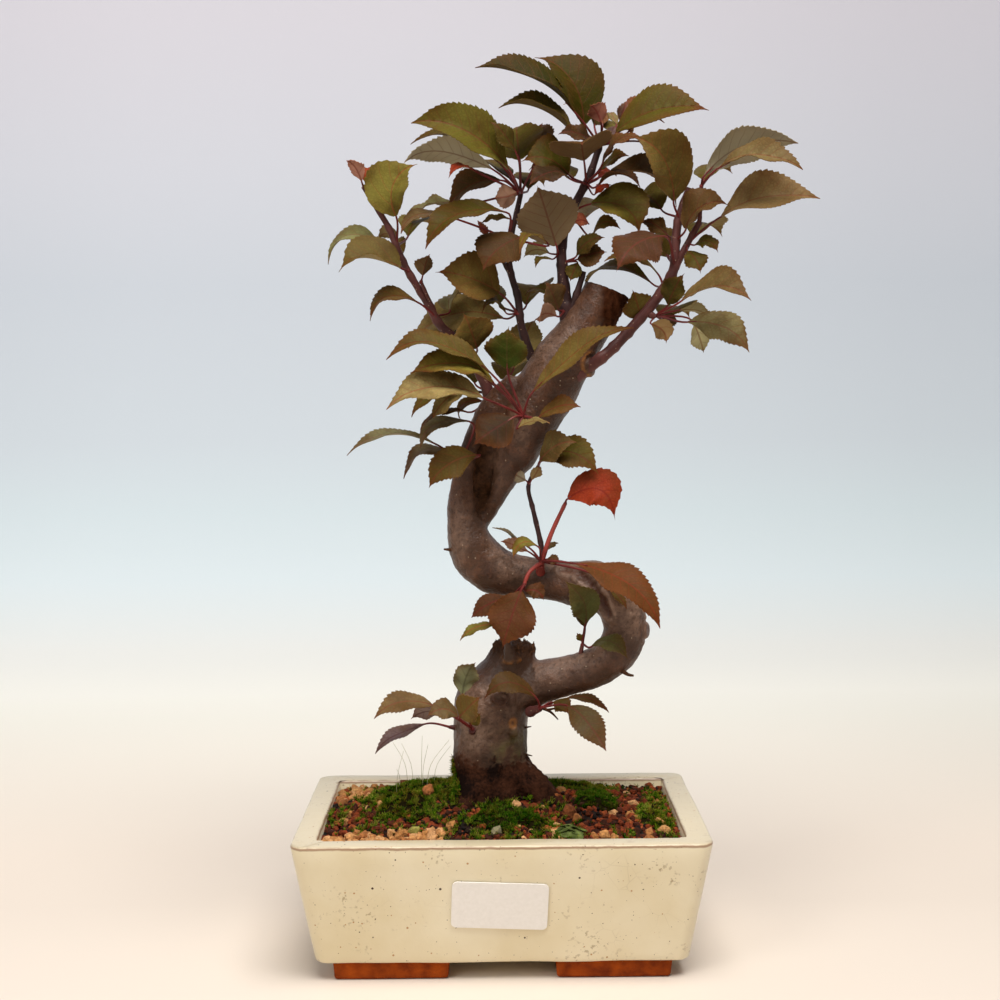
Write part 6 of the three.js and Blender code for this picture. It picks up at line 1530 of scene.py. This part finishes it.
def fine_leaf(f, seed, out):
    """One serrate, veined blade with its two faces, added to the lists in out."""
    rng = np.random.default_rng(seed)
    tooth = min(TOOTH, 0.8 + 0.035 * f["span"])
    teeth = max(int(round(f["span"] / tooth)), 5)
    half_cols = 5 if f["width"] > 12 else 4 if f["width"] > 7 else 3
    # three rows to a tooth: notch, flank and a tip that leans forward over the next notch
    u = np.linspace(0.012, 0.985, 3 * teeth + 1)
    row = np.arange(3 * teeth + 1) % 3
    v = np.linspace(-1, 1, 2 * half_cols + 1)
    v = 0.6 * v + 0.4 * np.sin(v * math.pi / 2)
    uu, vv = np.meshgrid(u, v, indexing="ij")
    size = np.repeat(rng.uniform(0.6, 1.25, teeth + 1), 3)[:3 * teeth + 1]
    depth = np.array([-0.35, 0.05, 0.4])[row] * size * tooth / f["width"]
    depth = depth * np.clip((1 - u) * 9, 0, 1) * np.clip(u * 7, 0, 1)
    rim = np.abs(vv) ** 7
    # a wedge-shaped foot and a drawn-out tip; short broad blades are rounder at the foot
    stubby = min(max((f["width"] / f["span"] - 0.45) / 0.3, 0.0), 1.0)
    slim = np.clip(u / 0.42, 0, 1) ** (rng.uniform(0.34, 0.5) * (1 - 0.75 * stubby))
    drawn_out = (0.7 + 1.5 * stubby) * u ** 3
    slim = (slim * np.sin(math.pi * u ** 0.86).clip(0.001) ** drawn_out * 1.06)[:, None]
    p, normal, along, half = blade_points(f, uu, vv * slim * (1 + depth[:, None] * rim))
    lean = np.array([-0.03, 0.05, 0.25])[row] * size * tooth * np.clip((1 - u) * 8, 0, 1)
    p += along * (rim * lean[:, None])[..., None]
    half = half * slim
    body = np.clip(half / 5, 0, 1)
    swing, phase = rng.uniform(0.4, 1.1), rng.uniform(0, 6.3, 2)
    turns = rng.uniform(1.3, 2.6)
    wave = np.sin(uu * 6.28 * turns + np.where(vv > 0, phase[0], phase[1])) * np.abs(vv) ** 1.7
    cup = rng.uniform(-0.13, 0.06) * half * np.abs(vv) ** 3
    droop = -np.clip((uu - 0.72) / 0.28, 0, 1) ** 2 * rng.uniform(0.02, 0.09) * f["span"]
    twist = rng.uniform(-0.16, 0.16) * uu * vv * half
    sway = rng.uniform(-0.025, 0.025) * f["span"] * np.sin(2 * math.pi * uu)
    slant = uu * f["span"] - np.abs(vv) * half * VEIN_SLANT
    quilt = 0.5 - 0.5 * np.cos(slant / VEIN_STEP * 2 * math.pi)
    quilt = quilt * (1 - np.abs(vv) ** 3) * np.clip(5 * np.abs(vv), 0, 1)
    relief = swing * wave * body + cup + droop + twist + sway + QUILT * quilt * body
    p += normal * relief[..., None]
    thick = BLADE / 2 * (1 + 1.3 * bell(vv * half, 0.6) * (1 - uu))
    n = uu.size
    out["points"].append((p + normal * thick[..., None]).reshape(-1, 3))
    out["points"].append((p - normal * thick[..., None]).reshape(-1, 3))
    # for the finish: place along the side veins, distance from the midrib, and which face;
    # then how strong the side veins are, and how sun-flushed the margin and the tip
    ribs = np.stack([slant.ravel(), np.abs(vv * half).ravel(), np.zeros(n)], 1)
    out["ribs"] += [ribs, ribs + [0, 0, 1]]
    flushed = (0.55 * np.abs(vv) ** 3 + uu ** 5) * rng.uniform(0.15, 0.9)
    fade = 0.4 * np.clip((0.95 - np.abs(vv)) / 0.4, 0, 1)
    tissue = np.stack([fade.ravel(), flushed.ravel(), np.zeros(n)], 1)
    out["tissue"] += [tissue, tissue]
    index = np.arange(n).reshape(uu.shape) + out["count"]
    a, b, c, d = index[:-1, :-1], index[1:, :-1], index[1:, 1:], index[:-1, 1:]
    top = np.stack([a, b, c, d], -1).reshape(-1, 4)
    border = np.concatenate([index[:-1, 0], index[-1, :-1], index[:0:-1, -1], index[0, :0:-1]])
    after = np.roll(border, -1)
    wall = np.stack([after, border, border + n, after + n], -1)
    out["faces"] += [top, top[:, ::-1] + n, wall]
    out["kinds"] += [ON_BLADE] * (2 * len(top) + len(wall))
    out["count"] += 2 * n
    return 2 * n


def add_tints(count, colours, out):
    """Upper, lower and vein colour of the latest points."""
    for layer, colour in zip(LAYERS[2:], colours):
        out[layer].append(np.tile(srgb(colour), (count, 1)))


def add_tube(line, sides, kind, out, colour="#682422"):
    """Adds a stalk, a bud or a twig to the lists in out; it has no place on a blade."""
    points, faces = [], []
    tube(line, sides, points, faces)
    points = np.array(points)
    quads = [f for f in faces if len(f) == 4]
    caps = [f for f in faces if len(f) != 4]
    out["points"].append(points)
    out["faces"].append(np.array(quads) + out["count"])
    out["kinds"] += [kind] * len(quads)
    out["caps"] += [tuple(i + out["count"] for i in cap) for cap in caps]
    out["count"] += len(points)
    for layer in LAYERS[:2]:
        out[layer].append(np.zeros((len(points), 3)))
    add_tints(len(points), [colour] * 3, out)


def fine_twig(line, rng):
    """A twig with swollen nodes, more finely stepped."""
    line = smooth_line(line, 6)
    steps = np.linalg.norm(np.diff(line[:, :3], axis=0), axis=1)
    along = np.concatenate([[0], np.cumsum(steps)])
    node_gap = rng.uniform(7, 9)
    swell = 0.22 * bell((along + 2) % node_gap - node_gap / 2, 0.9)
    line[:, 3] *= 1 + swell
    return line


def bud_scales(centre, r, way, out):
    """A pointed bud of overlapping scales, as a small spindle."""
    spindle = [(-1.1, 0.5), (-0.5, 1.0), (0.2, 0.95), (1.0, 0.6), (1.7, 0.12)]
    line = np.array([[*(np.array(centre) + way * r * s), r * w] for s, w in spindle])
    add_tube(line, STALK_SIDES, ON_TWIG, out)


# Apple leaf blade: a waxy cuticle over green tissue with red pigment, so satin above and
# downy, paler below; red-brown veins in a herringbone; light glows through the thin blade.
blade_finish, tree, shader, spot = new_material("apple_leaf_blade")
stored = {name: add_node(tree, "Attribute", attribute_name=name).outputs for name in LAYERS}
ribs = add_node(tree, "SeparateXYZ", {0: stored["ribs"]["Vector"]}).outputs
tissue = add_node(tree, "SeparateXYZ", {0: stored["tissue"]["Vector"]}).outputs
wobble = add_node(tree, "TexNoise", {"Vector": spot, "Scale": per_metre(6), "Detail": 2.0})
wavy = add_node(tree, "Math", {0: wobble, 1: 1.4, 2: ribs["X"]}, operation="MULTIPLY_ADD")
off_vein = add_node(tree, "Math", {0: wavy, 1: VEIN_STEP / 2}, operation="PINGPONG")
side_vein = add_node(tree, "MapRange", {
    "Value": off_vein, "From Min": 0.3, "From Max": 0.06, "To Max": tissue["X"]})
midrib = add_node(tree, "MapRange", {"Value": ribs["Y"], "From Min": 0.5, "From Max": 0.26, "To Max": 0.6})
veins = add_node(tree, "Math", {0: midrib, 1: side_vein}, operation="MAXIMUM")
mottle = add_node(tree, "TexNoise", {"Vector": spot, "Scale": per_metre(11), "Detail": 5.0})
ageing = add_node(tree, "MapRange", {"Value": mottle, "From Min": 0.42, "From Max": 0.66, "To Max": 0.6})
bronzed = add_node(tree, "Mix", {
    FACTOR: ageing, FIRST: stored["upper_tint"]["Color"], SECOND: "#483012"}, data_type="RGBA")
net = add_node(tree, "TexVoronoi", {"Vector": spot, "Scale": per_metre(1.5)}, feature="DISTANCE_TO_EDGE")
pooled = add_node(tree, "MapRange", {"Value": net, "From Max": 0.25, "To Min": 0.88, "To Max": 1.06})
netted = add_node(tree, "Mix", {
    FACTOR: 1.0, FIRST: bronzed, SECOND: pooled}, data_type="RGBA", blend_type="MULTIPLY")
turned_over = add_node(tree, "Mix", {
    FACTOR: ribs["Z"], FIRST: netted, SECOND: stored["under_tint"]["Color"]}, data_type="RGBA")
veined = add_node(tree, "Mix", {
    FACTOR: veins, FIRST: turned_over, SECOND: stored["vein_tint"]["Color"]}, data_type="RGBA")
# Sun-flushed red-brown towards the margin and the tip, more on some leaves than on others
uneven = add_node(tree, "Math", {0: mottle, 1: 1.6}, operation="MULTIPLY")
flush = add_node(tree, "Math", {0: uneven, 1: tissue["Y"]}, operation="MULTIPLY")
edged = add_node(tree, "Mix", {
    FACTOR: flush, FIRST: veined, SECOND: "#623218"}, data_type="RGBA", clamp_factor=True)
satin = add_node(tree, "MapRange", {"Value": ribs["Z"], "To Min": 0.48, "To Max": 0.7})
sunk = add_node(tree, "Math", {0: veins, 1: -0.8, 2: net}, operation="MULTIPLY_ADD")
flip = add_node(tree, "Math", {0: ribs["Z"], 1: -1.6, 2: 1.0}, operation="MULTIPLY_ADD")
face_up = add_node(tree, "Math", {0: sunk, 1: flip}, operation="MULTIPLY")
embossed = add_node(tree, "Bump", {"Height": face_up, "Strength": 0.4, "Distance": 0.3 * MM})
feed(tree, shader, {
    "Base Color": edged, "Roughness": satin, "Normal": embossed, "Specular IOR Level": 0.05,
    "Subsurface Weight": 0.15, "Subsurface Radius": (1.0, 0.8, 0.3), "Subsurface Scale": 0.8 * MM})

# Leaf stalks: smooth, juicy and red where the sun reaches them
stalk_finish, tree, shader, spot = new_material("red_leaf_stalk")
red = add_node(tree, "Attribute", attribute_name="upper_tint")
blush = add_node(tree, "TexNoise", {"Vector": spot, "Scale": per_metre(8), "Detail": 3.0})
feed(tree, shader, {
    "Base Color": mottled(tree, red, blush, 0.6, 1.3), "Roughness": 0.42, "Specular IOR Level": 0.25})

# Young twig bark: red-brown, satin, with pale dot lenticels
twig_bark, tree, shader, spot = new_material("young_apple_twig")
age = add_node(tree, "Attribute", attribute_name="upper_tint")
flow = add_node(tree, "TexNoise", {"Vector": spot, "Scale": per_metre(6), "Detail": 5.0})
dots = add_node(tree, "TexVoronoi", {"Vector": spot, "Scale": per_metre(2.1)})
dot = add_node(tree, "Math", {0: dots, 1: 0.12}, operation="LESS_THAN")
dotted = add_node(tree, "Mix", {
    FACTOR: dot, FIRST: mottled(tree, age, flow, 0.5, 1.3), SECOND: "#947560"}, data_type="RGBA")
knobbly = add_node(tree, "Bump", {"Height": flow, "Strength": 0.4, "Distance": 0.5 * MM})
feed(tree, shader, {
    "Base Color": dotted, "Normal": knobbly, "Roughness": 0.48, "Specular IOR Level": 0.25})

for number, shoot in enumerate(SHOOTS):
    out = {key: [] for key in ("points", "faces", "kinds", "caps", *LAYERS)}
    out["count"] = 0
    rng = np.random.default_rng(100 + number)
    for k, twig in enumerate(shoot["twigs"]):
        # this year's growth is still red and soft
        soft = shoot["name"] == "loop_top_shoot" and k != 1
        tone = "#8E3A32" if soft else shoot.get("bark", "#5C3430")
        add_tube(fine_twig(twig, rng), TWIG_SIDES, ON_STALK if soft else ON_TWIG, out, tone)
    for cluster in shoot["clusters"]:
        leaves = [leaf_frame(row) for row in cluster["settled"]]
        way = unit(sum((f["base"] - np.array(cluster["bud"]) for f in leaves), np.zeros(3)))
        bud_scales(cluster["bud"], BUD_RADIUS, way, out)
        for row, f in zip(cluster["settled"], leaves):
            line = stalk_line(cluster["bud"], f, STALK_STEPS)
            blade_start = blade_points(f, np.array([0.04, 0.12]), np.array([0.0, 0.0]))[0]
            line = np.concatenate([line, blade_start])
            # a small leaf has a thinner stalk, and each stalk runs out under the midrib
            width = np.linspace(STALK_FOOT, STALK_END, len(line)) * min(1.0, 0.55 + f["span"] / 40)
            width[-1] *= 0.5
            add_tube(np.concatenate([line, width[:, None]], 1), STALK_SIDES, ON_STALK, out)
            made = fine_leaf(f, int(rng.integers(1 << 30)), out)
            add_tints(made, TINTS[row[10]], out)
            # no two leaves have quite the same colour
            jitter = rng.uniform(0.86, 1.14)
            out["upper_tint"][-1][:, :3] *= jitter * rng.uniform(0.94, 1.06, 3)
            out["under_tint"][-1][:, :3] *= jitter
    faces = [list(map(int, f)) for block in out["faces"] for f in block] + out["caps"]
    kinds = out["kinds"] + [ON_STALK] * len(out["caps"])
    spray = new_mesh(shoot["name"] + "_spray", np.concatenate(out["points"]), faces,
                     [blade_finish, stalk_finish, twig_bark], kinds)
    for layer in LAYERS:
        paint(spray, layer, np.concatenate(out[layer]))
    smooth(spray, 50)
    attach(spray, "root")
    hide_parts(shoot["name"])

# Floor, light and camera
# A pale seamless sweep behind and below that glows farther back, a painted glow, one big soft light above
# and in front, a weaker one at the left, and the camera in front, above the tree's middle and tipped
# slightly down.

# How far the paper reaches, where it starts to rise, its bend, and the gap under the feet
REACH, FLAT_TO, BEND, BELOW_FEET = 2600.0, 700.0, 500, 0.2
sweep_points, sweep_faces = [], []
profile = [(-REACH, 0.0), (FLAT_TO, 0.0)]
for t in np.linspace(0.1, math.pi / 2, 14):
    profile.append((FLAT_TO + BEND * math.sin(t), BEND - BEND * math.cos(t)))
profile.append((FLAT_TO + BEND, REACH))
for y, z in profile:
    sweep_points += [(-REACH, y, z - BELOW_FEET), (REACH, y, z - BELOW_FEET)]
for i in range(len(profile) - 1):
    sweep_faces.append((2 * i, 2 * i + 1, 2 * i + 3, 2 * i + 2))

# Matt paper: warm and nearly white in front, cooler and greyer where it rises behind; from a little behind
# the pot it glows, more the farther back, a painted glow that brightens the backdrop
card, tree, shader, spot = new_material("pale_paper_sweep")
place_on = add_node(tree, "SeparateXYZ", {"Vector": spot}).outputs
run = add_node(tree, "Math", {0: place_on["Y"], 1: place_on["Z"]}, operation="ADD")
far = add_node(tree, "MapRange", {"Value": run, "From Max": 2.0})
wash = add_node(tree, "ValToRGB", {"Fac": far}, stops=[
    (0.065, "#E4D8CB"), (0.23, "#DCD9CF"), (0.374, "#DADAD5"), (0.477, "#D0D9DB"),
    (0.559, "#C8D2D5"), (0.634, "#C3CACF"), (0.773, "#BFC4CB"), (0.943, "#CBC8CF")])
# painted shade: a little darker towards the right, where less light falls
painted_falloff = add_node(tree, "MapRange", {
    "Value": place_on["X"], "From Min": -0.45, "From Max": 0.45, "To Min": 1.0, "To Max": 0.88})
wash = add_node(tree, "Mix", {
    FACTOR: 1.0, FIRST: wash, SECOND: painted_falloff}, data_type="RGBA", blend_type="MULTIPLY")
# painted glow: the paper emits light, more the farther back it lies
painted_glow = add_node(tree, "MapRange", {
    "Value": place_on["Y"], "From Min": 0.05, "From Max": 0.55, "To Max": 0.48})
feed(tree, shader, {
    "Base Color": wash, "Emission Color": wash, "Emission Strength": painted_glow, "Roughness": 0.9,
    "Specular IOR Level": 0.1})
sweep = new_mesh("paper_sweep", np.array(sweep_points), sweep_faces, [card])
smooth(sweep, 60)


def soft_light(name, where, target, size, watts, colour):
    """A rectangular soft box that faces its target."""
    lamp = bpy.data.lights.new(name, "AREA")
    lamp.shape = "RECTANGLE"
    lamp.size, lamp.size_y = size[0] * MM, size[1] * MM
    lamp.energy = watts
    lamp.color = srgb(colour)[:3]
    obj = bpy.data.objects.new(name, lamp)
    obj.location = place(where)
    way = Vector(place(target)) - obj.location
    obj.rotation_euler = way.to_track_quat("-Z", "Y").to_euler()
    bpy.context.scene.collection.objects.link(obj)


soft_light("soft_box_top", (130, -430, 1150), (0, 0, 180), (760, 620), 17.5, "#FFFCF8")
soft_light("soft_box_left", (-800, -900, 800), (0, 0, 200), (500, 500), 5, "#FFFCF8")
world = bpy.data.worlds.new("studio")
world.use_nodes = True
feed(world.node_tree, world.node_tree.nodes["Background"], {"Color": "#FBFCFF", "Strength": 0.16})
bpy.context.scene.world = world
bpy.context.scene.view_settings.view_transform = "Standard"

# Where the camera stands, how it is turned in degrees, and its lens
CAMERA, YAW, PITCH, ROLL = (-1.6, -655.0, 241.0), 0.19, -4.19, -0.46
LENS, SENSOR = 55.26, 36
camera_data = bpy.data.cameras.new("camera")
camera_data.lens = LENS
camera_data.sensor_width = SENSOR
camera_data.clip_start, camera_data.clip_end = 0.01, 50
camera = bpy.data.objects.new("camera", camera_data)
yaw, pitch, roll = math.radians(YAW), math.radians(PITCH), math.radians(ROLL)
forward = np.array([math.sin(yaw) * math.cos(pitch), math.cos(yaw) * math.cos(pitch), math.sin(pitch)])
right = np.array([math.cos(yaw), -math.sin(yaw), 0.0])
upward = np.cross(right, forward)
turned_right = right * math.cos(roll) + upward * math.sin(roll)
turned_up = upward * math.cos(roll) - right * math.sin(roll)
spin = Matrix((turned_right, turned_up, -forward)).transposed().to_4x4()
camera.matrix_world = Matrix.Translation(Vector(place(CAMERA))) @ spin
bpy.context.scene.collection.objects.link(camera)
bpy.context.scene.camera = camera
